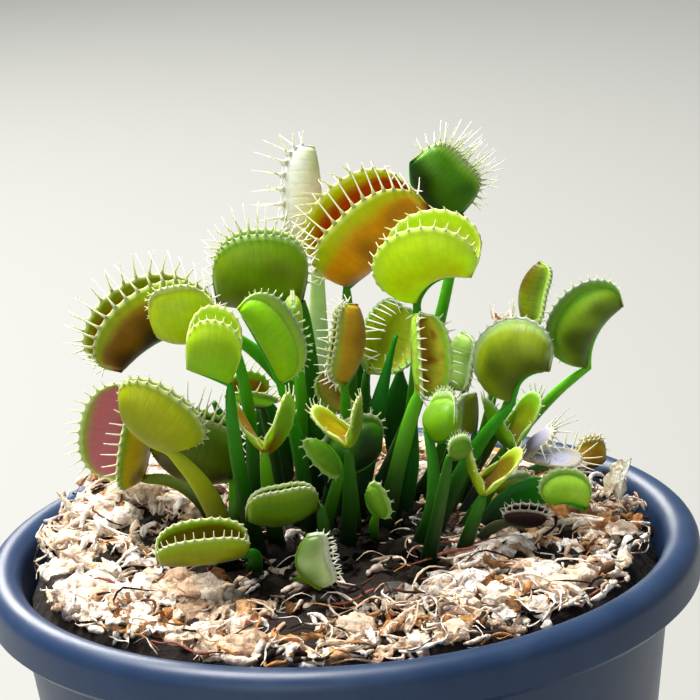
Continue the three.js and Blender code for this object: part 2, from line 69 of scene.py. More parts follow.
camera = bpy.data.objects.new("camera", bpy.data.cameras.new("camera"))
camera.data.sensor_width = SENSOR_WIDTH
camera.data.lens = LENS
camera.data.clip_start = 0.05
aim = Matrix.Rotation(math.pi / 2 - CAMERA_DOWN, 4, "X") @ Matrix.Rotation(-CAMERA_ROLL, 4, "Z")
camera.matrix_world = Matrix.Translation(CAMERA_PLACE) @ aim
bpy.context.collection.objects.link(camera)
bpy.context.scene.camera = camera
bpy.context.scene.view_settings.view_transform = "Standard"
print("camera stands", round(CAMERA_PLACE.length, 3), "m from the pot's foot")

# %% [markdown]
# ## Colours and finished pieces
# A few small helpers serve every piece. Screen colours have to be turned into Blender's linear
# values, and each finished mesh has to be scaled to metres, linked, given its material and tied to
# the frame. That could be written out for each piece, but one helper treats them all alike. The
# pieces are modelled in millimetres, because that is how the plant is measured.

# %% Colour helpers
def rgb(code):
    """A screen colour such as "9ccb1e" in linear values."""
    values = [int(code[k:k + 2], 16) / 255 for k in (0, 2, 4)]
    return Vector([v / 12.92 if v <= 0.04045 else ((v + 0.055) / 1.055) ** 2.4 for v in values])


def mix(a, b, share):
    """a where share is 0, b where it is 1, for numbers and vectors."""
    return a + (b - a) * share


def ramp(low, high, value):
    """0 below low, 1 above high, and a smooth rise between them."""
    share = min(max((value - low) / (high - low), 0), 1)
    return share * share * (3 - 2 * share)


print("half grey on the screen:", round(rgb("808080").x, 3), "in linear values")

# %% Finishing a piece
def make_piece(name, bm, material, node):
    """Turns a bmesh in millimetres into a piece that rides on the frame and stands for a node."""
    bmesh.ops.scale(bm, vec=(MM, MM, MM), verts=bm.verts)
    mesh = bpy.data.meshes.new(name)
    bm.to_mesh(mesh)
    bm.free()
    mesh.shade_smooth()
    mesh.materials.append(material)
    piece = bpy.data.objects.new(name, mesh)
    bpy.context.collection.objects.link(piece)
    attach(piece, "root")
    if node:
        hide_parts(node)
    return piece


# %% [markdown]
# ## Materials
# A material is a small graph of nodes. The living leaves share one and the dead leaves another,
# because the colours of each leaf are painted on its points as an attribute called tone; the nodes
# only add the fine mottling and the veins that every leaf has. Images could do the same, but each
# trap would have to be unwrapped for its own. A lobe has a vein for every tooth, so a second
# attribute called weave counts the teeth along the lobe. Light that falls through the thin lobes
# makes them glow, which is what subsurface scattering is for.

# %% Node helper
def new_material(name, roughness):
    """A material with its Principled shader, and a function that adds a node with its values."""
    material = bpy.data.materials.new(name)
    material.use_nodes = True
    nodes = material.node_tree.nodes
    links = material.node_tree.links
    shader = nodes["Principled BSDF"]
    shader.inputs["Roughness"].default_value = roughness

    def add(kind, sources=None, **values):
        node = nodes.new(kind)
        for key, value in values.items():
            setattr(node, key, value)
        for key, source in (sources or {}).items():
            if isinstance(source, bpy.types.NodeSocket):
                links.new(source, node.inputs[key])
            else:
                node.inputs[key].default_value = source
        return node

    return material, shader, links, add


# A Mix node has sockets for each kind of data. These are its two colours, and what they give.
COLOUR_A, COLOUR_B, MIXED_COLOUR = 6, 7, 2

# %% Leaf material
LEAF_GLOW_MM = (1.2, 1.6, 0.3)

def leaf_material(name, roughness, glow, coat):
    """The painted tone with blotches and veins on it, lit through, under a thin coat of wax."""
    material, shader, links, add = new_material(name, roughness)
    place = add("ShaderNodeTexCoord").outputs["Object"]
    tone = add("ShaderNodeAttribute", attribute_name="tone").outputs["Color"]
    blotches = add("ShaderNodeTexNoise", {"Vector": place, "Scale": 420, "Detail": 3}).outputs["Fac"]
    shade = add("ShaderNodeMapRange", {"Value": blotches, "To Min": 0.84, "To Max": 1.14}).outputs[0]
    weave = add("ShaderNodeAttribute", attribute_name="weave").outputs["Vector"]
    parts = add("ShaderNodeSeparateXYZ", {"Vector": weave})
    wobble = add("ShaderNodeTexNoise", {"Vector": place, "Scale": 300, "Detail": 2}).outputs["Fac"]
    bent = add("ShaderNodeMath", {0: wobble, 1: 0.7, 2: parts.outputs["X"]}, operation="MULTIPLY_ADD")
    line = add("ShaderNodeMath", {0: bent.outputs[0], 1: 1}, operation="PINGPONG").outputs[0]
    vein = add("ShaderNodeMapRange", {"Value": line, "From Min": 0.3, "From Max": 0}).outputs[0]
    vein = add("ShaderNodeMath", {0: vein, 1: parts.outputs["Y"]}, operation="MULTIPLY").outputs[0]
    dim = add("ShaderNodeMapRange", {"Value": vein, "To Min": 1, "To Max": 0.95}).outputs[0]
    value = add("ShaderNodeMath", {0: shade, 1: dim}, operation="MULTIPLY").outputs[0]
    fleck = add("ShaderNodeHueSaturation", {"Color": tone, "Value": value}).outputs[0]
    links.new(fleck, shader.inputs["Base Color"])
    skin = add("ShaderNodeTexNoise", {"Vector": place, "Scale": 1900, "Detail": 2}).outputs["Fac"]
    relief = add("ShaderNodeMath", {0: vein, 1: -1.5, 2: skin}, operation="MULTIPLY_ADD").outputs[0]
    bump = add("ShaderNodeBump", {"Height": relief, "Strength": 0.14, "Distance": 0.0002})
    links.new(bump.outputs[0], shader.inputs["Normal"])
    shader.inputs["Subsurface Weight"].default_value = glow
    shader.inputs["Subsurface Radius"].default_value = LEAF_GLOW_MM
    shader.inputs["Subsurface Scale"].default_value = MM
    shader.inputs["Coat Weight"].default_value = coat
    shader.inputs["Coat Roughness"].default_value = 0.35
    shader.inputs["Specular IOR Level"].default_value = 0.22
    return material


living_leaf = leaf_material("living_leaf", roughness=0.42, glow=0.5, coat=0.03)
dead_leaf = leaf_material("dead_leaf", roughness=0.7, glow=0.05, coat=0)
print("leaf materials:", living_leaf.name, dead_leaf.name)

# %% [markdown]
# ## Floor and light
# The plant stands on a plain pale floor. In the photograph the light comes from above and behind on
# the left, so the lobes glow and the stalks stand in deep shade. An image of a sky could light the
# plant alone, but lamps can be placed one at a time: one above and one behind give that light,
# a weaker one in front opens the shadows, and an even pale sky does the rest.

# %% Floor and light
FLOOR_SIZE = 12
PLANT_MIDDLE = Vector((0, 0, 0.15))
SKY_COLOUR = (0.86, 0.93, 1, 1)
SKY_STRENGTH = 0.28

def add_floor():
    bm = bmesh.new()
    bmesh.ops.create_grid(bm, x_segments=1, y_segments=1, size=FLOOR_SIZE / 2)
    mesh = bpy.data.meshes.new("floor")
    bm.to_mesh(mesh)
    bm.free()
    material, shader, *_ = new_material("floor_card", 0.9)
    shader.inputs["Base Color"].default_value = (*rgb("a2a29e"), 1)
    mesh.materials.append(material)
    floor = bpy.data.objects.new("floor", mesh)
    bpy.context.collection.objects.link(floor)


def add_lamp(name, place, size, watts, colour):
    """A round lamp that is turned towards the middle of the plant."""
    data = bpy.data.lights.new(name, "AREA")
    data.shape = "DISK"
    data.size = size
    data.energy = watts
    data.color = colour
    lamp = bpy.data.objects.new(name, data)
    heading = PLANT_MIDDLE - Vector(place)
    lamp.matrix_world = Matrix.Translation(place) @ heading.to_track_quat("-Z", "Y").to_matrix().to_4x4()
    bpy.context.collection.objects.link(lamp)


def add_sky():
    world = bpy.data.worlds.new("sky")
    world.use_nodes = True
    world.node_tree.nodes["Background"].inputs["Color"].default_value = SKY_COLOUR
    world.node_tree.nodes["Background"].inputs["Strength"].default_value = SKY_STRENGTH
    bpy.context.scene.world = world


add_floor()
add_lamp("sky_above", place=(-0.3, 0.1, 1.2), size=0.6, watts=24, colour=(1, 0.99, 0.96))
add_lamp("glow_behind", place=(-0.35, 1, 0.75), size=0.5, watts=12, colour=(1, 0.98, 0.94))
add_lamp("front_fill", place=(-0.5, -1.2, 0.5), size=0.9, watts=4, colour=(0.97, 0.99, 1))
add_sky()

# %% [markdown]
# ## The pot
# The pot is moulded plastic: a thin tapered wall with a rolled lip, and holes in its floor. It could
# be a cone with a ring joined to its top, but a mould makes one skin with no seam. So its outline,
# inside and outside, is drawn once and spun about the axis. The outline has the solid's own sizes;
# the spin has many more steps, so the lip is round up close. The holes are cut afterwards.

# %% Pot outline
POT_HEIGHT = 120
POT_WALL = 2.6
POT_FLOOR = 3
BASE_RADIUS = 58
BASE_CHAMFER = 2
LIP_INNER_RADIUS = 71
LIP_WIDTH = 8
LIP_DEPTH = 11
LIP_CHAMFER = 1.5
LIP_ROLL_STEPS = 14
POT_SPIN_STEPS = 160

def pot_inner_radius(z):
    return mix(BASE_RADIUS - POT_WALL, LIP_INNER_RADIUS, z / POT_HEIGHT)


def pot_outline():
    skirt = POT_HEIGHT - LIP_DEPTH
    roll = LIP_WIDTH / 2
    lip_outside = LIP_INNER_RADIUS + LIP_WIDTH
    points = [(0, 0), (BASE_RADIUS - BASE_CHAMFER, 0), (BASE_RADIUS, BASE_CHAMFER)]
    points += [(pot_inner_radius(skirt) + POT_WALL, skirt), (lip_outside - LIP_CHAMFER, skirt)]
    points.append((lip_outside, skirt + LIP_CHAMFER))
    for k in range(LIP_ROLL_STEPS + 1):
        angle = math.pi * k / LIP_ROLL_STEPS
        points.append((lip_outside - roll * (1 - math.cos(angle)), POT_HEIGHT - roll * (1 - math.sin(angle))))
    points += [(pot_inner_radius(skirt), skirt), (pot_inner_radius(POT_FLOOR), POT_FLOOR), (0, POT_FLOOR)]
    return points


print("pot outline:", len(pot_outline()), "points, mouth", 2 * LIP_INNER_RADIUS, "mm wide")

# %% Pot mesh
DRAIN_HOLES = 6
DRAIN_RADIUS = 5
DRAIN_CIRCLE = 36

def pot_mesh():
    bm = bmesh.new()
    verts = [bm.verts.new((x, 0, z)) for x, z in pot_outline()]
    edges = [bm.edges.new(pair) for pair in zip(verts, verts[1:])]
    bmesh.ops.spin(bm, geom=verts + edges, cent=(0, 0, 0), axis=(0, 0, 1), angle=2 * math.pi,
                   steps=POT_SPIN_STEPS, use_merge=True)
    bmesh.ops.remove_doubles(bm, verts=bm.verts, dist=0.001)
    bmesh.ops.recalc_face_normals(bm, faces=bm.faces)
    return bm


def drain_plugs():
    bm = bmesh.new()
    for k in range(DRAIN_HOLES):
        turn = Matrix.Rotation(2 * math.pi * k / DRAIN_HOLES, 4, "Z")
        place = turn @ Matrix.Translation((DRAIN_CIRCLE, 0, POT_FLOOR / 2))
        bmesh.ops.create_cone(bm, cap_ends=True, segments=32, radius1=DRAIN_RADIUS, radius2=DRAIN_RADIUS,
                              depth=3 * POT_FLOOR, matrix=place)
    bmesh.ops.scale(bm, vec=(MM, MM, MM), verts=bm.verts)
    mesh = bpy.data.meshes.new("drain_plugs")
    bm.to_mesh(mesh)
    bm.free()
    plugs = bpy.data.objects.new("drain_plugs", mesh)
    bpy.context.collection.objects.link(plugs)
    return plugs


print("drain holes:", DRAIN_HOLES, "of", 2 * DRAIN_RADIUS, "mm")

# %% Pot plastic
def pot_material():
    material, shader, links, add = new_material("pot_plastic", 0.3)
    place = add("ShaderNodeTexCoord").outputs["Object"]
    dust = add("ShaderNodeTexNoise", {"Vector": place, "Scale": 90, "Detail": 6}).outputs["Fac"]
    thickness = {"Value": dust, "From Min": 0.4, "From Max": 0.8, "To Max": 0.14}
    film = add("ShaderNodeMapRange", thickness).outputs[0]
    blues = {"Factor": film, COLOUR_A: (*rgb("1c3558"), 1), COLOUR_B: (*rgb("54708e"), 1)}
    colour = add("ShaderNodeMix", blues, data_type="RGBA").outputs[MIXED_COLOUR]
    links.new(colour, shader.inputs["Base Color"])
    gloss = add("ShaderNodeMapRange", {"Value": dust, "To Min": 0.32, "To Max": 0.5}).outputs[0]
    links.new(gloss, shader.inputs["Roughness"])
    grain = add("ShaderNodeTexNoise", {"Vector": place, "Scale": 1500, "Detail": 2}).outputs["Fac"]
    bump = add("ShaderNodeBump", {"Height": grain, "Strength": 0.08, "Distance": 0.0002})
    links.new(bump.outputs[0], shader.inputs["Normal"])
    return material


pot_plastic = pot_material()
print("pot material:", pot_plastic.name)

# %% Put the pot together
SHARP_ANGLE = math.radians(35)

def add_pot():
    pot = make_piece("moulded_pot", pot_mesh(), pot_plastic, "pot")
    plugs = drain_plugs()
    cut = pot.modifiers.new("drain_holes", "BOOLEAN")
    cut.operation = "DIFFERENCE"
    cut.object = plugs
    with bpy.context.temp_override(object=pot, active_object=pot):
        bpy.ops.object.modifier_apply(modifier=cut.name)
    bpy.data.objects.remove(plugs)
    pot.data.set_sharp_from_angle(angle=SHARP_ANGLE)
    return pot


pot = add_pot()
print("pot faces:", len(pot.data.polygons))

# %% [markdown]
# ## How a trap is shaped
# A lobe is a sheet that leaves the midrib, swells out into a dome and ends in a flat flange with
# a scalloped edge. Each trap could be sculpted, but forty that all differ are easier to bend by
# a few numbers. Two numbers place a point on a lobe: s runs along the midrib from the neck to the
# tip, t from the midrib to the edge. For each gape the slope of the sheet against the trap's
# middle plane is known from midrib to edge, and adding it up in small steps gives the section.

# %% Sections of a lobe
GAPES = {
    "shut": dict(rise=58, fall=-62, flange=4, lean=18, crease=0.86),
    "flat": dict(rise=44, fall=-40, flange=2, lean=14, crease=0.93),
    "ajar": dict(rise=62, fall=-26, flange=-8, lean=22, crease=0.88),
    "vee": dict(rise=44, fall=12, flange=26, lean=12, crease=0.9),
    "open": dict(rise=52, fall=4, flange=30, lean=15, crease=0.88),
}
FOLD_TO = 0.06
CREASE_WIDTH = 0.05
SECTION_STEPS = 120

def lobe_slope(gape, crease, t):
    if t < FOLD_TO:
        return mix(90, gape["rise"], t / FOLD_TO)
    if t < crease:
        return mix(gape["rise"], gape["fall"], (t - FOLD_TO) / (crease - FOLD_TO))
    return mix(gape["fall"], gape["flange"], ramp(crease, crease + CREASE_WIDTH, t))


def lobe_section(gape, crease):
    """Points (height, spread) from midrib to edge, for a lobe whose edge is 1 high."""
    points = [(0, 0)]
    for k in range(SECTION_STEPS):
        slope = math.radians(lobe_slope(gape, crease, (k + 0.5) / SECTION_STEPS))
        height, spread = points[-1]
        points.append((height + math.cos(slope), spread + math.sin(slope)))
    top = points[-1][0]
    return [(height / top, spread / top) for height, spread in points]


for name, gape in GAPES.items():
    print(name, "edge stands out by", round(lobe_section(gape, gape["crease"])[-1][1], 2))

# %% One trap in space
SHAPES = {
    "bean": dict(bow=0.13, fan=(-14, 52)),
    "hooked": dict(bow=0.2, fan=(-36, 56)),
    "kidney": dict(bow=0.02, fan=(-2, 22)),
    "dee": dict(bow=-0.05, fan=(-12, 8)),
    "shell": dict(bow=-0.26, fan=(6, -2)),
    "round": dict(bow=-0.12, fan=(-40, 40)),
}
END_SHARE = 0.2
ROUNDNESS = 2.4
END_BLEND = 0.05
END_SPREAD = 0.6
SCALLOP_MM = 0.35
SCALLOP_FROM = 0.85
EDGE_STEP = 0.01
EDGE_BAND = 0.06

def station(u):
    """The place along the midrib for a share u of the way round a lobe's edge."""
    return (1 - math.cos(math.pi * u)) / 2


def round_of(s):
    """The share of the way round the edge for a place s along the midrib."""
    return math.acos(min(max(1 - 2 * s, -1), 1)) / math.pi


class Trap:
    """The axes and the form of a leaf's trap. x runs along the midrib, z to the mouth."""

    def __init__(self, leaf):
        self.origin = Vector(leaf["neck"])
        chord = Vector(leaf["tip"]) - self.origin
        self.length = chord.length
        self.x = chord.normalized()
        rise = Vector(leaf["crest"]) - self.origin
        rise -= self.x * rise.dot(self.x)
        self.height = rise.length
        self.z = rise.normalized()
        self.y = self.z.cross(self.x)
        self.shape = SHAPES[leaf["shape"]]
        self.gape = GAPES[leaf["gape"]]
        self.crease = leaf.get("crease", self.gape["crease"])
        self.section = lobe_section(self.gape, self.crease)
        self.sag = self.shape["bow"] * self.length
        self.teeth = leaf["teeth"][0]

    def place(self, along, across, up):
        return self.origin + self.x * along + self.y * across + self.z * up

    def midrib(self, s):
        return self.place(self.length * s, 0, self.sag * 4 * s * (1 - s))

    def fan(self, s):
        return math.radians(mix(*self.shape["fan"], s))

    def point(self, side, s, t):
        """A point of the lobe's outer face. side is 1 or -1."""
        bulge = 1 - abs(2 * s - 1) ** ROUNDNESS
        size = (self.height - self.sag) * mix(END_SHARE, 1, math.sqrt(max(bulge, 0)))
        scallop = math.sin(math.pi * self.teeth * round_of(s)) ** 2
        size += SCALLOP_MM * ramp(SCALLOP_FROM, 1, t) * scallop
        step = t * SECTION_STEPS
        low = min(int(step), SECTION_STEPS - 1)
        height, spread = Vector(self.section[low]).lerp(Vector(self.section[low + 1]), step - low)
        ends = ramp(0, END_BLEND, s) * ramp(0, END_BLEND, 1 - s)
        height = mix(t, height, ends)
        spread = mix(self.section[-1][1] * t * END_SPREAD, spread, ends)
        fan = self.fan(s)
        out = size * height
        return self.place(self.length * s + out * math.sin(fan), side * size * spread,
                          self.sag * 4 * s * (1 - s) + out * math.cos(fan))

    def edge_axes(self, side, s):
        """At the edge: the direction along it, outward in the lobe's surface, and over the mouth."""
        ahead, back = min(s + EDGE_STEP, 1), max(s - EDGE_STEP, 0)
        along = (self.point(side, ahead, 1) - self.point(side, back, 1)).normalized()
        outward = self.point(side, s, 1) - self.point(side, s, 1 - EDGE_BAND)
        outward = (outward - along * outward.dot(along)).normalized()
        over = along.cross(outward)
        return along, outward, over if over.dot(self.y) * side < 0 else -over


print("outlines of a lobe:", ", ".join(SHAPES))

# %% [markdown]
# ## Colours of a leaf
# Every leaf is painted in a few colours: the dome, its low part by the midrib, which in most paints
# is painted darker as painted shade, the flange, and the inner face, which darkens towards the
# midrib, partly the red of the trap and partly painted shade inside the mouth. The colours of one
# paint were chosen from what a trap of that kind shows: young ones are lime, old ones turn
# orange-brown in the sun, shaded ones stay dark green, dead ones go grey. They could be brushed on
# by hand, but s and t already say where a point lies on its lobe, so they also give its colour.
# A stalk is painted nearly black at its foot as painted shade, and has a colour of its own by the
# trap.

# %% Paints
PAINTS = {
    "umber": dict(body="84560a", deep="100802", flange="94a10a", inside="a0481c", throat_and_shade="4a1406"),
    "ember": dict(body="e29804", deep="8c5406", flange="c5ca05", inside="b8480c", throat_and_shade="6a1806"),
    "rust": dict(body="cc9a20", deep="a86c1c", flange="aac038", inside="b87a20", throat_and_shade="84440e"),
    "lime": dict(body="d1f602", deep="cacb03", flange="c8e725", inside="d0dc58", throat_and_shade="a8a830"),
    "forest": dict(body="7e9f02", deep="687402", flange="84b00a", inside="5a4a10", throat_and_shade="3a0c06"),
    "bottle": dict(body="4a8402", deep="0a3a00", flange="8cb83c", inside="4f8018", throat_and_shade="204808"),
    "kidney": dict(body="97df0a", deep="a1db05", flange="a4dc3c", inside="b1dd42", throat_and_shade="87b11e"),
    "pale": dict(body="b0dc50", deep="98c83c", flange="ccf080", inside="d8f0a8", throat_and_shade="b0d070"),
    "ghost": dict(body="eefae0", deep="d4ecb8", flange="fafff4", inside="f4ffe8", throat_and_shade="d4ecb8"),
    "blush": dict(body="cbaf12", deep="514904", flange="8cac20", inside="bc7484", throat_and_shade="8c2010"),
    "amber_green": dict(body="aeb702", deep="929b03", flange="98ac0c", inside="91431e", throat_and_shade="6d260a"),
    "moss_green": dict(body="567102", deep="3c3602", flange="7ca020", inside="6a6a1c", throat_and_shade="3a3a0c"),
    "olive_red": dict(body="91bb03", deep="986b06", flange="b4e509", inside="c88a3a", throat_and_shade="9a3719"),
    "speckled": dict(body="b4eb45", deep="88bc2c", flange="a0d038", inside="e0dc48", throat_and_shade="c49428",
                     spots="a8481c"),
    "pistachio": dict(body="c7f97c", deep="80a83c", flange="b4dc7c", inside="8fd372", throat_and_shade="6ea641"),
    "bronze": dict(body="8da015", deep="4d6202", flange="a4c870", inside="a39129", throat_and_shade="756110"),
    "acorn": dict(body="789103", deep="605406", flange="a0d040", inside="78671b", throat_and_shade="554408"),
    "sage": dict(body="8fb325", deep="4f6702", flange="7cc028", inside="a0b040", throat_and_shade="7c8024"),
    "orange_in": dict(body="7db806", deep="487808", flange="90cc24", inside="8ea010", throat_and_shade="674f0d"),
    "sunny": dict(body="8faf08", deep="88a008", flange="b4d02c", inside="776907", throat_and_shade="613c06"),
    "deepgreen": dict(body="2e6404", deep="0c2502", flange="5c941c", inside="4f7018", throat_and_shade="2c4008"),
    "olive": dict(body="5f8703", deep="445c04", flange="84a414", inside="594f07", throat_and_shade="3b2b03"),
    # minty: the very pale body is partly the trap's own pale green and partly a painted highlight.
    "minty": dict(body="d3f9a6", deep="658531", flange="c8e0ac", inside="b8d098", throat_and_shade="88a068"),
    "spikes": dict(body="a8705c", deep="8c5440", flange="d8a8a0", inside="b88c80", throat_and_shade="8c5440"),
    # In ashen the low part and the inner face by the midrib are black: painted shadow inside the mouth.
    "ashen": dict(body="c8c0dc", deep="040304", flange="e4dccc", inside="dedff9", throat_and_shade="040304"),
    "amber": dict(body="e0b818", deep="8c5c06", flange="a89418", inside="a06a14", throat_and_shade="6a3c0a"),
    "charred": dict(body="190807", deep="0c0404", flange="3c241c", inside="2c0a08", throat_and_shade="0c0404"),
    "lemon": dict(body="bad602", deep="adbf03", flange="d5f91c", inside="c0d860", throat_and_shade="98a020"),
    "leek": dict(body="9bbe02", deep="88bb03", flange="c5e71e", inside="d4e070", throat_and_shade="a8a82c"),
    "meadow": dict(body="86bc28", deep="5c9010", flange="98d444", inside="e4f050", throat_and_shade="b8b828"),
    "clover": dict(body="74a22d", deep="74af07", flange="98d444", inside="9ab030", throat_and_shade="7a7a14"),
    "ivy": dict(body="609113", deep="5c9010", flange="98d444", inside="9ab030", throat_and_shade="7a7a14"),
    "apple": dict(body="b9f742", deep="86cc16", flange="98d444", inside="c0d048", throat_and_shade="90a024"),
    "sprout": dict(body="86bc28", deep="5c9010", flange="98d444", inside="9ab030", throat_and_shade="7a7a14"),
    "fern": dict(body="b6ee2e", deep="4a5402", flange="84b00a", inside="9c6b11", throat_and_shade="671c0a"),
    "rose": dict(body="94880c", deep="6c5c0a", flange="8cac20", inside="d4bc60", throat_and_shade="a84c14"),
    "copper": dict(body="8c9408", deep="54560a", flange="98b018", inside="7c6a10", throat_and_shade="6a3c0a"),
    "tan": dict(body="7c8602", deep="545c02", flange="c4e0a4", inside="94702a", throat_and_shade="6a4a10"),
    "honey": dict(body="6c8c04", deep="88a008", flange="b4d02c", inside="b4a50a", throat_and_shade="946208"),
}
# Stalks are painted nearly black at the foot: painted shade low in the clump.
SHADED_STALK_FOOT = "022002"
STALK_HEAD = {"acorn": "4ca014", "amber": "2f780a", "amber_green": "abb416", "apple": "24a80a",
              "ashen": "8a8a6c", "blade": "147c08", "blush": "6f860f", "bottle": "58b810",
              "bronze": "39a107", "charred": "3c3f21", "clover": "328908", "copper": "2d850a",
              "fern": "2c600c", "forest": "3c9010", "ghost": "d8f0b4", "honey": "2d6d0d",
              "ivy": "2d6c0b", "kidney": "40b010", "leek": "349401", "lemon": "4cb810", "lime": "3c9408",
              "meadow": "346f16", "minty": "5e840f", "moss_green": "69bb0c", "olive": "2d5e07",
              "olive_red": "66a60e", "orange_in": "4fb90f", "pale": "60c010", "pistachio": "4c9810",
              "rust": "4ca010", "sage": "70c818", "shade": "1a6406", "speckled": "6cc418",
              "sunny": "31730e", "tan": "2c7808", "umber": "4cac10"}
STALK_HEAD_USUAL = "4c9810"
TOOTH_TIP = "fdfbe4"
PAINT_COLOURS = {name: {part: rgb(code) for part, code in paint.items()} for name, paint in PAINTS.items()}
DEAD_PAINTS = ("ashen", "charred")
print("paints:", len(PAINTS))

# %% The colour of a point
CLOUD_PER_MM = 0.16
SPOTS_PER_MM = 0.42
SPOT_STRENGTH = 0.7
SPOT_EDGE = (0.1, 0.5)
FLANGE_BLUR = (0.14, 0.03)
FLANGE_AT_NECK = (0.06, 0.01)
FLANGE_AT_TIP = (0.94, 0.99)
FLANGE_AT_ENDS_FROM = (0.4, 0.7)
SHADED_DEEP_RAMP = (0.05, 0.75)
THROAT_AND_SHADE_RAMP = (0.05, 0.6)
CLOUD_IN = dict(flange=0.06, throat_and_shade=0.3, deep=0.5)
RIM_FROM = 0.955
RIM_PALENESS = 0.35

def rim_colour(paint):
    return mix(paint["flange"], rgb(TOOTH_TIP), RIM_PALENESS)


def lobe_colour(paint, trap, s, t, inner, place):
    """The colour of one point of a lobe, clouded by noise so that no two lobes look alike."""
    cloud = noise.noise(place * CLOUD_PER_MM)
    near_end = max(ramp(*FLANGE_AT_NECK, s), ramp(*FLANGE_AT_TIP, s))
    blur_in, blur_out = FLANGE_BLUR
    flange = ramp(trap.crease - blur_in, trap.crease + blur_out, t + CLOUD_IN["flange"] * cloud)
    flange = max(flange, near_end * ramp(*FLANGE_AT_ENDS_FROM, t))
    if inner:
        # Towards the midrib the inner face darkens: partly the trap's red, partly painted shade in the mouth.
        colour = mix(paint["throat_and_shade"], paint["inside"], ramp(*THROAT_AND_SHADE_RAMP, t + CLOUD_IN["throat_and_shade"] * cloud))
    else:
        # Towards the midrib the outer face takes its low colour, in most paints a painted shade.
        colour = mix(paint["deep"], paint["body"], ramp(*SHADED_DEEP_RAMP, t + CLOUD_IN["deep"] * cloud))
    if "spots" in paint:
        spot = noise.noise(place * SPOTS_PER_MM)
        colour = mix(colour, paint["spots"], SPOT_STRENGTH * ramp(*SPOT_EDGE, spot))
    colour = mix(colour, paint["flange"], flange)
    return mix(colour, rim_colour(paint), ramp(RIM_FROM, 1, t))


print("rim of a lime trap:", [round(v, 2) for v in rim_colour(PAINT_COLOURS["lime"])])

# %% [markdown]
# ## Lobes, teeth and stalk
# The two lobes are one grid, folded along the midrib by moving its points to where s and t say,
# and then thickened with solidify. A tooth, a trigger hair and a stalk are all the same thing:
# a tube whose rings follow a line. A curve with a bevel would be as thick as it is wide, but stalks
# and the feet of the teeth are flat. So each starts as a capped cylinder with rings along it, and
# its points are moved to their ring.

# %% Tubes
def tube_pattern(sides, rings):
    """An upright capped tube, one unit round and high, as a mesh to copy."""
    bm = bmesh.new()
    bmesh.ops.create_cone(bm, cap_ends=True, segments=sides, radius1=1, radius2=1, depth=1)
    upright = [e for e in bm.edges if abs(e.verts[0].co.z - e.verts[1].co.z) > 0.5]
    bmesh.ops.subdivide_edges(bm, edges=upright, cuts=rings - 2, use_grid_fill=True)
    mesh = bpy.data.meshes.new("tube_pattern")
    bm.to_mesh(mesh)
    bm.free()
    return mesh


def add_tube(bm, tone, pattern, rings, colours):
    """Copies the pattern. rings holds (middle, wide axis, thin axis), colours one for each ring."""
    before = len(bm.verts)
    bm.from_mesh(pattern)
    bm.verts.ensure_lookup_table()
    for v in bm.verts[before:]:
        k = round((v.co.z + 0.5) * (len(rings) - 1))
        middle, wide, thin = rings[k]
        v[tone] = (*colours[k], 1)
        v.co = middle + wide * v.co.x + thin * v.co.y


TOOTH_RINGS = 6
TOOTH_PATTERN = tube_pattern(sides=5, rings=TOOTH_RINGS)
STALK_RINGS = 34
STALK_PATTERN = tube_pattern(sides=14, rings=STALK_RINGS)
HAIR_RINGS = 3
HAIR_PATTERN = tube_pattern(sides=4, rings=HAIR_RINGS)
print("faces of a tooth and a stalk:", len(TOOTH_PATTERN.polygons), len(STALK_PATTERN.polygons))

# %% Lobes
LOBE_THICKNESS = 0.55
LOBE_ROWS = 30
FOLD_LIMIT = 1.2
COLUMNS_PER_TOOTH = 4

def add_lobes(bm, tone, trap, paint):
    """Both lobes as one folded grid, painted outside, thickened, then painted inside."""
    layers = bm.verts.layers.float_vector
    weave = layers["weave"]
    spot, outside = layers.new("spot"), layers.new("outside")
    columns = trap.teeth * COLUMNS_PER_TOOTH
    sheet = bmesh.ops.create_grid(bm, x_segments=columns, y_segments=LOBE_ROWS, size=1)["verts"]
    for v in sheet:
        s, t = station((v.co.x + 1) / 2), abs(v.co.y)
        side = 1 if v.co.y > 0 else -1
        v.co = trap.point(side, s, t)
        v[tone] = (*lobe_colour(paint, trap, s, t, False, v.co), 1)
        v[spot] = (s, t, side)
        v[weave] = (2 * trap.teeth * round_of(s), ramp(0.05, 0.3, t) * ramp(1, 0.8, t), 0)
        v[outside] = v.co
    faces = list({f for v in sheet for f in v.link_faces})
    bm.normal_update()
    middle = trap.midrib(0.5) + trap.z * trap.height / 2
    if sum(f.normal.dot(f.calc_center_median() - middle) for f in faces) < 0:
        bmesh.ops.reverse_faces(bm, faces=faces)
    bmesh.ops.solidify(bm, geom=faces, thickness=LOBE_THICKNESS)
    for v in bm.verts:
        offset = v.co - v[outside]
        if offset.length > LOBE_THICKNESS / 2:
            reach = min(offset.length, FOLD_LIMIT * LOBE_THICKNESS)
            v.co = v[outside] + offset.normalized() * reach
            s, t, side = v[spot]
            v[tone] = (*lobe_colour(paint, trap, s, t, True, v.co), 1)
    layers.remove(outside)
    layers.remove(layers["spot"])


print("grid of both lobes:", LOBE_ROWS, "rows,", COLUMNS_PER_TOOTH, "columns for each tooth")

# %% Teeth
TOOTH_SLIM = 0.27
SLIM_TO_WEB = 0.6
SLIM_TO_LENGTH = 0.16
TOOTH_TIP_SHARE = 0.3
TOOTH_CURL = math.radians(16)
TOOTH_SINK = 0.5
WEB_SHARE = 0.45
WEB_FADE = 5
TIP_PALENESS = 0.3
TIP_PALENESS_PER_MM = 0.15
END_TOOTH_SHARE = 0.4
TOOTH_LENGTHS = (0.85, 1.1)
TOOTH_LEANS = 6
TOOTH_SWAY = 0.12

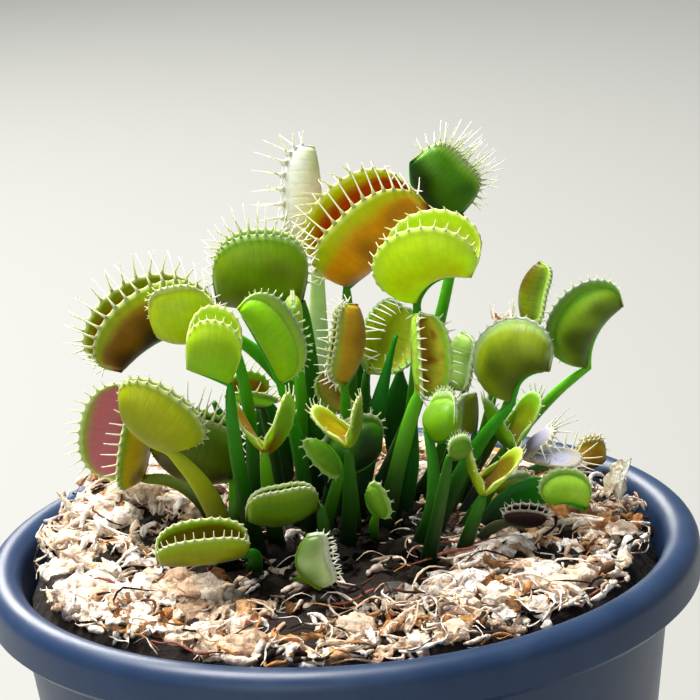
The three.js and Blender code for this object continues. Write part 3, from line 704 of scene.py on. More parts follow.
def add_tooth(bm, tone, trap, side, s, length, lean, sway, colours):
    """One tooth: wide where it joins the edge, then slim, curling over the mouth."""
    along, outward, over = trap.edge_axes(side, s)
    web = WEB_SHARE * max(trap.length, trap.height) / trap.teeth
    slim = min(TOOTH_SLIM, SLIM_TO_WEB * web, SLIM_TO_LENGTH * length)
    rings = []
    place = trap.point(side, s, 1) - outward * TOOTH_SINK
    step = (length + TOOTH_SINK) / (TOOTH_RINGS - 1)
    for k in range(TOOTH_RINGS):
        share = k / (TOOTH_RINGS - 1)
        angle = lean + TOOTH_CURL * share
        heading = (outward * math.cos(angle) + over * math.sin(angle) + along * sway).normalized()
        if k:
            place = place + heading * step
        wide = (along - heading * along.dot(heading)).normalized()
        radius = slim * mix(1, TOOTH_TIP_SHARE, share)
        half_web = web * (1 - share) ** WEB_FADE
        rings.append((place, wide * max(radius, half_web), heading.cross(wide) * radius))
    add_tube(bm, tone, TOOTH_PATTERN, rings, colours)


def add_teeth(bm, tone, trap, leaf, paint, draw):
    """The teeth of both lobes, the longest in the middle of each edge and pale towards their tips."""
    count, length = leaf["teeth"]
    lean = math.radians(leaf.get("lean", trap.gape["lean"]))
    tip = mix(paint["flange"], rgb(TOOTH_TIP), min(TIP_PALENESS + TIP_PALENESS_PER_MM * length, 1))
    colours = [mix(rim_colour(paint), tip, min(2 * k / (TOOTH_RINGS - 1), 1)) for k in range(TOOTH_RINGS)]
    for side in (1, -1):
        for k in range(count):
            share = (k + 0.5) / count
            reach = length * mix(END_TOOTH_SHARE, 1, math.sin(math.pi * share)) * draw.uniform(*TOOTH_LENGTHS)
            tilt = lean + math.radians(draw.uniform(-TOOTH_LEANS, TOOTH_LEANS))
            sway = draw.uniform(-TOOTH_SWAY, TOOTH_SWAY)
            add_tooth(bm, tone, trap, side, station(share), reach, tilt, sway, colours)


print("thickest tooth:", 2 * TOOTH_SLIM, "mm")

# %% Trigger hairs
HAIR_LENGTH = 1.7
HAIR_RADIUS = 0.09
HAIR_TAPER = 0.4
HAIR_SPOTS = ((0.36, 0.4), (0.5, 0.55), (0.64, 0.4))

def add_trigger_hairs(bm, tone, trap, paint):
    """Three fine hairs on the inner face of each lobe, pointing at the mouth."""
    for side in (1, -1):
        for s, t in HAIR_SPOTS:
            foot = trap.point(side, s, t)
            inward = (trap.midrib(0.5) + trap.z * trap.height - foot).normalized()
            wide = inward.orthogonal().normalized() * HAIR_RADIUS
            thin = inward.cross(wide)
            rings = []
            for k in range(HAIR_RINGS):
                place = foot + inward * HAIR_LENGTH * k / (HAIR_RINGS - 1)
                rings.append((place, wide * (1 - HAIR_TAPER * k), thin * (1 - HAIR_TAPER * k)))
            # The hairs take the colour of the low part by the midrib, painted shade included.
            add_tube(bm, tone, HAIR_PATTERN, rings, [paint["deep"]] * HAIR_RINGS)


print("trigger hairs in a trap:", 2 * len(HAIR_SPOTS))

# %% Moss height
MOSS_RADIUS = 65
MOSS_MIDDLE_HEIGHT = 1
MOSS_EDGE_HEIGHT = -2
HEAP = dict(x=-45, y=28, height=9, spread=16)
CLUMP_HEIGHT = 1.3

def moss_height(x, y):
    """The height of the moss, as the solid has it: a low mound with a heap behind on the left."""
    share = min(math.hypot(x, y) / MOSS_RADIUS, 1)
    mound = mix(MOSS_EDGE_HEIGHT, MOSS_MIDDLE_HEIGHT, math.cos(share * math.pi / 2))
    away = (x - HEAP["x"]) ** 2 + (y - HEAP["y"]) ** 2
    heap = HEAP["height"] * math.exp(-away / (2 * HEAP["spread"] ** 2))
    clumps = math.sin(x * 0.31 + 1.7 * math.sin(y * 0.17)) * math.cos(y * 0.27 - x * 0.11)
    return POT_HEIGHT + mound + heap + CLUMP_HEIGHT * clumps * min(2 * share, 1)


print("moss in the middle:", round(moss_height(0, 0), 1), "mm above the floor")

# %% Stalk
ROOT_DEPTH = 11
STALK_THICKNESS = 0.9
NECK_THICKNESS = 0.7
NECK_PINCH = 0.75
PINCH_FROM = 0.88
KEEL_RINGS = 9
KEEL_HALF_WIDTH = 0.55
KEEL_SWELL = 1.2
KEEL_TO = 0.9

def stalk_line(leaf, trap):
    """(point, half width, half thickness, share) from the root, along the bow, then the midrib."""
    root_x, root_y = leaf["root"]
    start = Vector((root_x, root_y, moss_height(root_x, root_y)))
    bend, neck = Vector(leaf["bend"]), Vector(leaf["neck"])
    wide_root, wide_middle, wide_neck = leaf["stalk"]
    bow_rings = STALK_RINGS - 1 - (KEEL_RINGS if trap else 0)
    line = [(start - Vector((0, 0, ROOT_DEPTH)), wide_root, STALK_THICKNESS, 0)]
    for k in range(bow_rings):
        u = k / (bow_rings - 1)
        point = start.lerp(bend, u).lerp(bend.lerp(neck, u), u)
        half = mix(mix(wide_root, wide_middle, ramp(0, 0.5, u)), wide_neck, ramp(0.5, 1, u))
        if trap:
            half *= mix(1, NECK_PINCH, ramp(PINCH_FROM, 1, u))
        line.append((point, half, mix(STALK_THICKNESS, NECK_THICKNESS, u), u))
    for k in range(KEEL_RINGS if trap else 0):
        s = KEEL_TO * (k + 1) / KEEL_RINGS
        keel = KEEL_HALF_WIDTH * (KEEL_SWELL - s)
        line.append((trap.midrib(s), keel, keel, 1))
    return line


def add_stalk(bm, tone, leaf, trap):
    """Painted nearly black at its foot as painted shade, the stalk runs on as the keel under the midrib."""
    line = stalk_line(leaf, trap)
    head = rgb(STALK_HEAD.get(leaf["paint"], STALK_HEAD_USUAL))
    rings = []
    colours = []
    for k, (point, half, thick, share) in enumerate(line):
        heading = (line[min(k + 1, len(line) - 1)][0] - line[max(k - 1, 0)][0]).normalized()
        wide = heading.cross(Vector((0, -1, 0))).normalized()
        rings.append((point, wide * half, heading.cross(wide) * thick))
        colours.append(mix(rgb(SHADED_STALK_FOOT), head, ramp(0.05, 0.9, share)))
    add_tube(bm, tone, STALK_PATTERN, rings, colours)


print("rings of a stalk:", STALK_RINGS - KEEL_RINGS, "and", KEEL_RINGS, "under the midrib")

# %% [markdown]
# ## The leaves
# A few traps could be copied many times, but no two in the photograph are alike. So forty-one
# leaves and seven plain blades stand where the solids stand, and each row of this table says what
# the solid's row says, in millimetres: where the stalk leaves the moss, the point that it bows
# towards, the two ends of the midrib, and the middle of the mouth. The stalk's half widths are
# those at its root, half way and at the neck. Only the teeth are more and finer here: the row gives
# how many stand on each lobe and how long they are. A row may also move the crease of the flange or
# the lean of the teeth. Each leaf draws its small irregularities from a series of its own.

# %% The table of leaves
LEAVES = [
    dict(name="leaf_01", root=(1, 7), bend=(-3, 8, 156), neck=(-24, 5, 169), tip=(-45, -4, 163),
         crest=(-38, 0, 183), shape="bean", gape="ajar", teeth=(20, 8), stalk=(2.4, 2.2, 1.2),
         paint="umber", slot="leaf_orange"),
    dict(name="leaf_02", root=(-20, -4), bend=(-15, -5, 155), neck=(-22, -10, 175), tip=(-37, -9, 173),
         crest=(-34, -17, 185), shape="shell", gape="shut", teeth=(14, 1.6), stalk=(2, 1.4, 1),
         paint="lemon", slot="leaf_lime"),
    dict(name="leaf_03", root=(-5, 18), bend=(-3, 16, 149), neck=(-5, 16, 170), tip=(-24, 16, 171),
         crest=(-12, 12, 188), shape="dee", gape="flat", teeth=(22, 6.5), stalk=(2.4, 1.8, 1.3),
         paint="forest", slot="leaf_dark"),
    dict(name="leaf_04", root=(-18, -14), bend=(-22, -28, 153), neck=(-21, -24, 165), tip=(-30, -24, 169),
         crest=(-24, -25, 182), shape="kidney", gape="ajar", teeth=(14, 1.1), stalk=(2.2, 1.6, 1.1),
         paint="leek", slot="leaf_lime"),
    dict(name="leaf_05", root=(-7, 1), bend=(-7, -2, 144), neck=(-11, -4, 158), tip=(-19, -5, 176),
         crest=(-6, -5, 172), shape="kidney", gape="shut", teeth=(20, 1.5), stalk=(2, 1.6, 1.1),
         paint="kidney", crease=0.78, slot="leaf_green"),
    dict(name="leaf_06", root=(-9, 6), bend=(-6, 4, 147), neck=(-7, 5, 167), tip=(-7, 5, 173),
         crest=(-7, 11, 170), shape="round", gape="shut", teeth=(8, 0.8), stalk=(1.8, 1.4, 1),
         paint="pale", slot="leaf_pale"),
    dict(name="leaf_07", root=(-27, 6), bend=(-33, 12, 134), neck=(-44, 14, 132), tip=(-39, 15, 153),
         crest=(-51, 7, 148), shape="dee", gape="open", teeth=(18, 4), stalk=(2, 1.6, 1.2), paint="blush",
         crease=0.94, slot="leaf_pink"),
    dict(name="leaf_08", root=(-25, -14), bend=(-24, -20, 138), neck=(-35, -21, 150), tip=(-45, -20, 158),
         crest=(-35, -23, 165), shape="round", gape="flat", teeth=(18, 1.6), stalk=(2.6, 2.4, 1.5),
         paint="amber_green", slot="leaf_olive"),
    dict(name="leaf_09", root=(-24, 0), bend=(-22, -4, 132), neck=(-23, 5, 134), tip=(-41, 5, 142),
         crest=(-28, -1, 151), shape="shell", gape="flat", teeth=(14, 8), stalk=(2, 1.6, 1.2),
         paint="moss_green", slot="leaf_dark"),
    dict(name="leaf_10", root=(-14, 22), bend=(-13, 24, 129), neck=(-16, 24, 144), tip=(-24, 17, 149),
         crest=(-21, 15, 154), shape="dee", gape="open", teeth=(10, 3.5), stalk=(1.8, 1.4, 1),
         paint="fern", slot="leaf_green"),
    dict(name="leaf_11", root=(-14, -8), bend=(-15, -21, 138), neck=(-15, -21, 148), tip=(-14, -16, 146),
         crest=(-16, -18, 160), shape="hooked", gape="vee", teeth=(12, 2.2), stalk=(2, 1.6, 1.2),
         paint="olive_red", slot="leaf_olive"),
    dict(name="leaf_12", root=(3, 22), bend=(4, 26, 145), neck=(5, 30, 169), tip=(25, 29, 186),
         crest=(8, 23, 194), shape="dee", gape="ajar", teeth=(18, 9), stalk=(2.4, 1.8, 1.3), paint="ember",
         slot="leaf_orange"),
    dict(name="leaf_13", root=(9, 26), bend=(22, 33, 140), neck=(32, 40, 181), tip=(21, 41, 194),
         crest=(31, 40, 197), shape="shell", gape="flat", teeth=(20, 8), stalk=(2.2, 1.6, 1.1),
         paint="bottle", slot="leaf_dark"),
    dict(name="leaf_14", root=(-6, 28), bend=(-3, 37, 141), neck=(-1, 40, 177), tip=(0, 46, 198),
         crest=(-8, 39, 190), shape="dee", gape="flat", teeth=(12, 8), stalk=(2.6, 3, 1.4), paint="ghost",
         slot="leaf_pale"),
    dict(name="leaf_15", root=(11, 9), bend=(20, 6, 149), neck=(20, 5, 171), tip=(32, -1, 178),
         crest=(16, 3, 189), shape="hooked", gape="ajar", teeth=(20, 1.8), stalk=(2.2, 1.6, 1.2),
         paint="lime", slot="leaf_lime"),
    dict(name="leaf_16", root=(-1, 4), bend=(3, 4, 137), neck=(3, 1, 155), tip=(7, 6, 172),
         crest=(1, -2, 165), shape="shell", gape="flat", teeth=(16, 4.5), stalk=(2, 1.5, 1.1),
         paint="rust", slot="leaf_orange"),
    dict(name="leaf_17", root=(6, 16), bend=(5, 18, 129), neck=(8, 17, 152), tip=(17, 25, 165),
         crest=(14, 14, 161), shape="shell", gape="open", teeth=(15, 7), stalk=(2.2, 1.6, 1.2),
         paint="meadow", lean=50, slot="leaf_green"),
    dict(name="leaf_18", root=(9, -3), bend=(15, -2, 143), neck=(19, -2, 153), tip=(19, -1, 171),
         crest=(23, -7, 162), shape="dee", gape="open", teeth=(14, 3), stalk=(2.2, 1.8, 1.4),
         paint="speckled", slot="leaf_lime"),
    dict(name="leaf_19", root=(17, 19), bend=(25, 20, 130), neck=(27, 18, 147), tip=(30, 19, 160),
         crest=(32, 14, 155), shape="shell", gape="shut", teeth=(10, 1.4), stalk=(1.6, 1.2, 0.9),
         paint="pistachio", slot="leaf_green"),
    dict(name="leaf_20", root=(20, -6), bend=(28, -11, 142), neck=(39, -10, 152), tip=(47, -15, 160),
         crest=(40, -11, 174), shape="hooked", gape="shut", teeth=(20, 0.8), stalk=(2.2, 1.7, 1.1),
         paint="bronze", crease=0.93, slot="leaf_olive"),
    dict(name="leaf_21", root=(24, 19), bend=(42, 18, 139), neck=(44, 17, 161), tip=(48, 19, 175),
         crest=(49, 14, 169), shape="shell", gape="shut", teeth=(16, 1), stalk=(1.8, 1.3, 1),
         paint="acorn", slot="leaf_olive"),
    dict(name="leaf_22", root=(27, 6), bend=(44, 8, 146), neck=(57, 8, 153), tip=(65, 3, 168),
         crest=(49, 4, 168), shape="bean", gape="shut", teeth=(22, 1.3), stalk=(1.8, 1.3, 1), paint="sage",
         crease=0.82, slot="leaf_green"),
    dict(name="leaf_23", root=(16, -13), bend=(23, -19, 134), neck=(20, -15, 149), tip=(26, -24, 152),
         crest=(25, -18, 158), shape="shell", gape="shut", teeth=(14, 1.3), stalk=(2, 1.5, 1.1),
         paint="clover", slot="leaf_green"),
    dict(name="leaf_24", root=(18, -22), bend=(22, -28, 137), neck=(24, -31, 148), tip=(29, -30, 149),
         crest=(24, -32, 152), shape="shell", gape="shut", teeth=(12, 1.1), stalk=(1.8, 1.4, 1),
         paint="ivy", slot="leaf_green"),
    dict(name="leaf_25", root=(22, 4), bend=(31, 6, 132), neck=(31, 8, 140), tip=(32, 8, 149),
         crest=(27, 5, 147), shape="dee", gape="shut", teeth=(9, 1.3), stalk=(1.6, 1.2, 0.9),
         paint="tan", slot="leaf_olive"),
    dict(name="leaf_26", root=(26, -3), bend=(36, -2, 133), neck=(39, -4, 139), tip=(36, 1, 140),
         crest=(39, -2, 151), shape="dee", gape="vee", teeth=(13, 2.2), stalk=(1.8, 1.4, 1),
         paint="orange_in", slot="leaf_green"),
    dict(name="leaf_27", root=(31, 18), bend=(37, 20, 128), neck=(41, 16, 130), tip=(42, 18, 132),
         crest=(53, 14, 136), shape="kidney", gape="vee", teeth=(14, 5.5), stalk=(1.8, 1.4, 1.1),
         paint="ashen", slot="leaf_grey"),
    dict(name="leaf_28", root=(36, 26), bend=(51, 32, 125), neck=(54, 36, 121), tip=(62, 37, 121),
         crest=(59, 33, 128), shape="shell", gape="flat", teeth=(10, 2), stalk=(1.6, 1.2, 0.9),
         paint="amber", slot="leaf_orange"),
    dict(name="leaf_29", root=(30, -5), bend=(42, -6, 137), neck=(54, -6, 125), tip=(46, -8, 127),
         crest=(50, -6, 135), shape="bean", gape="shut", teeth=(14, 0.8), stalk=(2, 3.4, 1.2),
         paint="apple", slot="leaf_lime"),
    dict(name="leaf_30", root=(30, -13), bend=(32, -14, 126), neck=(37, -14, 126), tip=(44, -16, 126),
         crest=(41, -16, 130), shape="round", gape="ajar", teeth=(12, 2), stalk=(1.6, 1.3, 1),
         paint="charred", slot="leaf_black"),
    dict(name="leaf_31", root=(26, -17), bend=(29, -22, 131), neck=(31, -22, 135), tip=(30, -16, 136),
         crest=(34, -20, 146), shape="dee", gape="vee", teeth=(11, 1.4), stalk=(1.8, 1.5, 1.1),
         paint="sunny", slot="leaf_olive"),
    dict(name="leaf_32", root=(31, 2), bend=(33, 1, 124), neck=(36, 1, 127), tip=(42, 1, 129),
         crest=(39, 1, 132), shape="round", gape="shut", teeth=(9, 0.9), stalk=(1.5, 1.2, 0.9),
         paint="tan", slot="leaf_olive"),
    dict(name="leaf_33", root=(1, -13), bend=(3, -18, 137), neck=(3, -22, 148), tip=(5, -17, 149),
         crest=(1, -20, 158), shape="dee", gape="vee", teeth=(12, 1.8), stalk=(2, 1.6, 1.1), paint="honey",
         slot="leaf_orange"),
    dict(name="leaf_34", root=(-5, -9), bend=(-1, -12, 134), neck=(1, -13, 141), tip=(-4, -13, 148),
         crest=(-5, -13, 143), shape="round", gape="shut", teeth=(9, 1.2), stalk=(1.7, 1.4, 1),
         paint="sprout", slot="leaf_green"),
    dict(name="leaf_35", root=(3, -4), bend=(3, -5, 131), neck=(3, -5, 137), tip=(10, -4, 141),
         crest=(6, -5, 151), shape="round", gape="shut", teeth=(16, 1.8), stalk=(2, 1.5, 1.1),
         paint="deepgreen", slot="leaf_dark"),
    dict(name="leaf_36", root=(-4, -18), bend=(-3, -26, 132), neck=(-4, -25, 137), tip=(-20, -28, 136),
         crest=(-8, -31, 144), shape="shell", gape="flat", teeth=(14, 1), stalk=(1.8, 1.4, 1),
         paint="olive", slot="leaf_olive"),
    dict(name="leaf_37", root=(-20, -21), bend=(-17, -30, 130), neck=(-20, -33, 130), tip=(-39, -35, 130),
         crest=(-29, -38, 138), shape="dee", gape="ajar", teeth=(17, 1.6), stalk=(2, 1.6, 1.1),
         paint="copper", slot="leaf_green"),
    dict(name="leaf_38", root=(-11, -28), bend=(-9, -37, 127), neck=(-5, -40, 124), tip=(-7, -43, 137),
         crest=(-3, -42, 134), shape="shell", gape="shut", teeth=(14, 1.8), stalk=(1.8, 1.4, 1),
         paint="minty", slot="leaf_pale"),
    dict(name="leaf_39", root=(-3, 12), bend=(0, 12, 137), neck=(4, 11, 148), tip=(-1, 9, 157),
         crest=(-1, 5, 153), shape="dee", gape="vee", teeth=(10, 1.5), stalk=(1.7, 1.3, 1), paint="rose",
         slot="leaf_pink"),
    dict(name="leaf_40", root=(7, -8), bend=(7, -13, 128), neck=(8, -15, 130), tip=(6, -15, 136),
         crest=(10, -15, 136), shape="round", gape="shut", teeth=(8, 0.9), stalk=(1.4, 1.1, 0.8),
         paint="sprout", slot="leaf_green"),
    dict(name="leaf_41", root=(26, 11), bend=(35, 12, 140), neck=(39, 14, 160), tip=(39, 19, 161),
         crest=(39, 15, 164), shape="dee", gape="vee", teeth=(6, 2.6), stalk=(1.5, 1.1, 0.8),
         paint="spikes", slot="leaf_pink"),
    dict(name="blade_01", root=(3, 1), bend=(8, 3, 144), neck=(15, 3, 165), stalk=(2, 2.2, 0.5),
         paint="blade", slot="leaf_dark"),
    dict(name="blade_02", root=(13, 3), bend=(17, 2, 133), neck=(18, 2, 149), stalk=(2, 1.8, 0.6),
         paint="blade", slot="leaf_dark"),
    # Blades 03 to 07 stand at the back, painted dark green: painted shade where the back shows shadow.
    dict(name="blade_03", root=(-12, 32), bend=(-14, 33, 135), neck=(-17, 34, 147), stalk=(2.4, 4, 0.6),
         paint="shade", slot="leaf_dark"),
    dict(name="blade_04", root=(4, 34), bend=(5, 35, 138), neck=(7, 36, 150), stalk=(2.4, 4, 0.6),
         paint="shade", slot="leaf_dark"),
    dict(name="blade_05", root=(14, 37), bend=(15, 39, 136), neck=(16, 40, 147), stalk=(2.4, 4, 0.6),
         paint="shade", slot="leaf_dark"),
    dict(name="blade_06", root=(-21, 27), bend=(-23, 29, 134), neck=(-27, 30, 144), stalk=(2.2, 3.4, 0.6),
         paint="shade", slot="leaf_dark"),
    dict(name="blade_07", root=(24, 31), bend=(27, 32, 133), neck=(31, 33, 143), stalk=(2.2, 3.6, 0.6),
         paint="shade", slot="leaf_dark"),
]
print("leaves:", len(LEAVES))

# %% Grow the leaves
def add_leaf(number, leaf):
    """A stalk with its trap, or with none where the row gives no tip, as one piece."""
    bm = bmesh.new()
    tone = bm.verts.layers.float_color.new("tone")
    bm.verts.layers.float_vector.new("weave")
    trap = Trap(leaf) if "tip" in leaf else None
    if trap:
        paint = PAINT_COLOURS[leaf["paint"]]
        add_lobes(bm, tone, trap, paint)
        add_teeth(bm, tone, trap, leaf, paint, random.Random(number))
        if leaf["gape"] != "shut":
            add_trigger_hairs(bm, tone, trap, paint)
    add_stalk(bm, tone, leaf, trap)
    material = dead_leaf if leaf["paint"] in DEAD_PAINTS else living_leaf
    return make_piece("flytrap_" + leaf["name"], bm, material, leaf["name"])


leaves = [add_leaf(number, leaf) for number, leaf in enumerate(LEAVES)]
print("leaf faces:", sum(len(leaf.data.polygons) for leaf in leaves))

# %% [markdown]
# ## The moss
# Long-fibred sphagnum is a heap of dried shoots in cream, tan and orange-brown, with dark gaps.
# A bumpy surface would have no gaps, so the heap is strewn from four kinds of piece: lumps of
# packed fibre, curled flakes, strands thick and fine, and a few twigs. The solid stays underneath
# in a brown darkened nearly to black, partly the moss's own brown and partly painted shadow in the
# gaps, and shows only between them. Between the stalks the moss lies in shade, so everything there
# is sparser and painted nearly black as painted shade.

# %% Moss materials
def moss_material():
    material, shader, links, add = new_material("moss_fibre", 0.85)
    place = add("ShaderNodeTexCoord").outputs["Object"]
    tone = add("ShaderNodeAttribute", attribute_name="tone").outputs["Color"]
    spots = add("ShaderNodeTexNoise", {"Vector": place, "Scale": 620, "Detail": 6}).outputs["Fac"]
    contrast = {"Value": spots, "From Min": 0.34, "From Max": 0.56, "To Min": 0.66, "To Max": 1.3}
    shade = add("ShaderNodeMapRange", contrast).outputs[0]
    mottled = add("ShaderNodeHueSaturation", {"Color": tone, "Value": shade}).outputs[0]
    links.new(mottled, shader.inputs["Base Color"])
    fluff = add("ShaderNodeTexNoise", {"Vector": place, "Scale": 900, "Detail": 5}).outputs["Fac"]
    bump = add("ShaderNodeBump", {"Height": fluff, "Strength": 0.9, "Distance": 0.0012})
    links.new(bump.outputs[0], shader.inputs["Normal"])
    shader.inputs["Specular IOR Level"].default_value = 0.12
    shader.inputs["Subsurface Weight"].default_value = 0.15
    shader.inputs["Subsurface Scale"].default_value = MM
    return material


def shadowed_bed_material():
    material, shader, links, add = new_material("moss_bed_and_gap_shadow", 0.95)
    place = add("ShaderNodeTexCoord").outputs["Object"]
    spots = add("ShaderNodeTexNoise", {"Vector": place, "Scale": 300, "Detail": 5}).outputs["Fac"]
    # Near black to dark brown: the bed's own brown and painted shadow in the gaps between the pieces.
    bed_and_gap_shadow_browns = {"Factor": spots, COLOUR_A: (*rgb("050302"), 1), COLOUR_B: (*rgb("2c1c10"), 1)}
    colour = add("ShaderNodeMix", bed_and_gap_shadow_browns, data_type="RGBA").outputs[MIXED_COLOUR]
    links.new(colour, shader.inputs["Base Color"])
    bump = add("ShaderNodeBump", {"Height": spots, "Strength": 1, "Distance": 0.002})
    links.new(bump.outputs[0], shader.inputs["Normal"])
    return material


moss_fibre = moss_material()
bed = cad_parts["moss"]
bed.data.materials.clear()
bed.data.materials.append(shadowed_bed_material())
print("moss materials:", moss_fibre.name, bed.data.materials[0].name)

# %% Where moss lies and what colour it has
MOSS_TO_RADIUS = 68
PALE_MOSS = [rgb(code) for code in ("fbf0e6", "f6e6d6", "efd9c4", "e4c8ac", "d4b294")]
BROWN_MOSS = [rgb(code) for code in ("cfa070", "b98a58", "c88850", "a9794a", "7c5838")]
BROWN_PATCH_PER_MM = 0.055
BROWN_SHARE = (0.06, 0.5)
# Between the stalks the moss pieces are painted nearly black as painted shade, and fewer are kept.
SHADED_MIDDLE = dict(x=-2, y=-8, inner=24, outer=36, squeeze=0.75, shade=0.02, kept=0.4)
HOLLOWS = [(-38, -4, 4.5), (44, -24, 3.5), (-10, -52, 3)]

def out_of_shade(x, y):
    """0 between the stalks, where the moss is painted in shade, 1 in the moss round them."""
    away = math.hypot(x - SHADED_MIDDLE["x"], SHADED_MIDDLE["squeeze"] * (y - SHADED_MIDDLE["y"]))
    return ramp(SHADED_MIDDLE["inner"], SHADED_MIDDLE["outer"], away)


def painted_shade_at(x, y):
    return mix(SHADED_MIDDLE["shade"], 1, out_of_shade(x, y))


def moss_place(draw, margin=0):
    """A random place on the moss, margin away from the pot, outside the dark hollows."""
    while True:
        radius = (MOSS_TO_RADIUS - margin) * math.sqrt(draw.random())
        turn = draw.uniform(0, 2 * math.pi)
        x, y = radius * math.cos(turn), radius * math.sin(turn)
        if draw.random() > mix(SHADED_MIDDLE["kept"], 1, out_of_shade(x, y)):
            continue
        if all(math.hypot(x - hx, y - hy) > reach + margin / 2 for hx, hy, reach in HOLLOWS):
            return x, y


def moss_colour(draw, x, y):
    """Cream or brown, in patches, and painted darker between the stalks as painted shade."""
    patch = noise.noise(Vector((x, y, 3)) * BROWN_PATCH_PER_MM)
    brown = draw.random() < mix(*BROWN_SHARE, ramp(0.05, 0.5, patch))
    return draw.choice(BROWN_MOSS if brown else PALE_MOSS) * painted_shade_at(x, y)


print("shade between the stalks and by the rim:", painted_shade_at(0, 0), painted_shade_at(60, 0))

# %% Lumps
LUMPS = 190
LUMP_SIZE = (2.8, 5.6)
LUMP_HEIGHT_SHARE = 0.65
LUMP_ROUGH = ((1.3, 0.36), (3.2, 0.3), (6, 0.2))
LUMP_SLIMNESS = (0.6, 1)
LUMP_NOISE_STEP = 9
LUMP_PAINTED_LIGHT = 0.95
LUMP_PAINTED_LIGHT_BY_ROUGH = 0.9

def lump_pattern():
    bm = bmesh.new()
    bmesh.ops.create_icosphere(bm, subdivisions=3, radius=1)
    mesh = bpy.data.meshes.new("lump_pattern")
    bm.to_mesh(mesh)
    bm.free()
    return mesh


def add_lumps(count, seed):
    """Balls flattened and roughened by noise, with painted light on bumps and painted shade in dents."""
    draw = random.Random(seed)
    pattern = lump_pattern()
    bm = bmesh.new()
    tone = bm.verts.layers.float_color.new("tone")
    for number in range(count):
        before = len(bm.verts)
        bm.from_mesh(pattern)
        bm.verts.ensure_lookup_table()
        size = draw.uniform(*LUMP_SIZE)
        x, y = moss_place(draw, size)
        colour = moss_colour(draw, x, y)
        middle = Vector((x, y, moss_height(x, y)))
        turn = Matrix.Rotation(draw.uniform(0, 2 * math.pi), 3, "Z")
        stretch = Vector((size, size * draw.uniform(*LUMP_SLIMNESS), size * LUMP_HEIGHT_SHARE))
        for v in bm.verts[before:]:
            own = Vector((0, 0, LUMP_NOISE_STEP * number))
            rough = sum(share * noise.noise(v.co * scale + own) for scale, share in LUMP_ROUGH)
            # Bumps painted lighter and dents darker: painted light and shade.
            v[tone] = (*(colour * (LUMP_PAINTED_LIGHT + LUMP_PAINTED_LIGHT_BY_ROUGH * rough)), 1)
            v.co = middle + turn @ (v.co * stretch * (1 + rough))
    bpy.data.meshes.remove(pattern)
    return make_piece("moss_lumps", bm, moss_fibre, None)


lumps = add_lumps(LUMPS, 21)
print("lump faces:", len(lumps.data.polygons))

# %% Flakes
FLAKES = 760
FLAKE_GRID = (8, 5)
FLAKE_THICKNESS = 0.3
FLAKE_LENGTHS = (3.5, 8.5)
FLAKE_WIDTHS = (0.3, 0.6)
FLAKE_LIFT = (0.2, 2.6)
FLAKE_TILTS = (26, 22)
FLAKE_CURLS = (1.2, 3.4)
FLAKE_ARCHES = (-0.1, 0.16)
FLAKE_MARGIN = 2.5
FLAKE_POINTEDNESS = 2.2
FLAKE_BLUNTNESS = 0.04
FLAKE_FULLNESS = 0.6
FLAKE_NICKS = 2.5
NICK_DEPTH = 0.45
CRUMPLE_DEPTH = 1.5
FADE_NOISE = 2
FADE_MIDDLE = 0.88
FADE_DEPTH = 0.5

def flake_pattern():
    bm = bmesh.new()
    bmesh.ops.create_grid(bm, x_segments=FLAKE_GRID[0], y_segments=FLAKE_GRID[1], size=1)
    mesh = bpy.data.meshes.new("flake_pattern")
    bm.to_mesh(mesh)
    bm.free()
    return mesh


def flake_point(u, v, length, width, curl, arch, seed):
    """A point of a flake: pointed at its ends, curled across like a gutter and arched along."""
    ragged = 1 + NICK_DEPTH * noise.noise(Vector((u * FLAKE_NICKS, v, seed)))
    half = width / 2 * max(1 - abs(u) ** FLAKE_POINTEDNESS, FLAKE_BLUNTNESS) ** FLAKE_FULLNESS * ragged
    radius = width / curl
    x = length / 2 * u
    y = radius * math.sin(v * half / radius)
    z = radius * (1 - math.cos(v * half / radius)) + arch * length * (1 - u * u)
    crumple = noise.noise(Vector((x, y, seed)))
    return Vector((x, y, z + CRUMPLE_DEPTH * crumple))


def add_flake(bm, tone, pattern, middle, turn, form, colour, seed):
    before = len(bm.verts)
    bm.from_mesh(pattern)
    bm.verts.ensure_lookup_table()
    for v in bm.verts[before:]:
        u, w = v.co.x, v.co.y
        fade = FADE_MIDDLE + FADE_DEPTH * noise.noise(Vector((FADE_NOISE * u, FADE_NOISE * w, seed)))
        v[tone] = (*(colour * fade), 1)
        v.co = middle + turn @ flake_point(u, w, *form, seed)


def add_flakes(count, seed, standing):
    """Flakes strewn over the moss, and the few that stand, thickened together."""
    draw = random.Random(seed)
    pattern = flake_pattern()
    bm = bmesh.new()
    tone = bm.verts.layers.float_color.new("tone")
    for number in range(count):
        length = draw.uniform(*FLAKE_LENGTHS)
        width = length * draw.uniform(*FLAKE_WIDTHS)
        x, y = moss_place(draw, FLAKE_MARGIN)
        middle = Vector((x, y, moss_height(x, y) + draw.uniform(*FLAKE_LIFT)))
        tilt = [math.radians(draw.gauss(0, tilts)) for tilts in FLAKE_TILTS]
        turn = Euler((*tilt, draw.uniform(0, 2 * math.pi))).to_matrix()
        curl = draw.uniform(*FLAKE_CURLS) * draw.choice((-1, 1))
        form = (length, width, curl, draw.uniform(*FLAKE_ARCHES))
        add_flake(bm, tone, pattern, middle, turn, form, moss_colour(draw, x, y), number)
    for number, (middle, tilt, form, code) in enumerate(standing):
        turn = Euler([math.radians(angle) for angle in tilt]).to_matrix()
        add_flake(bm, tone, pattern, Vector(middle), turn, form, rgb(code), count + number)
    bpy.data.meshes.remove(pattern)
    bmesh.ops.solidify(bm, geom=bm.faces[:], thickness=FLAKE_THICKNESS)
    bmesh.ops.recalc_face_normals(bm, faces=bm.faces)
    return make_piece("moss_flakes", bm, moss_fibre, None)


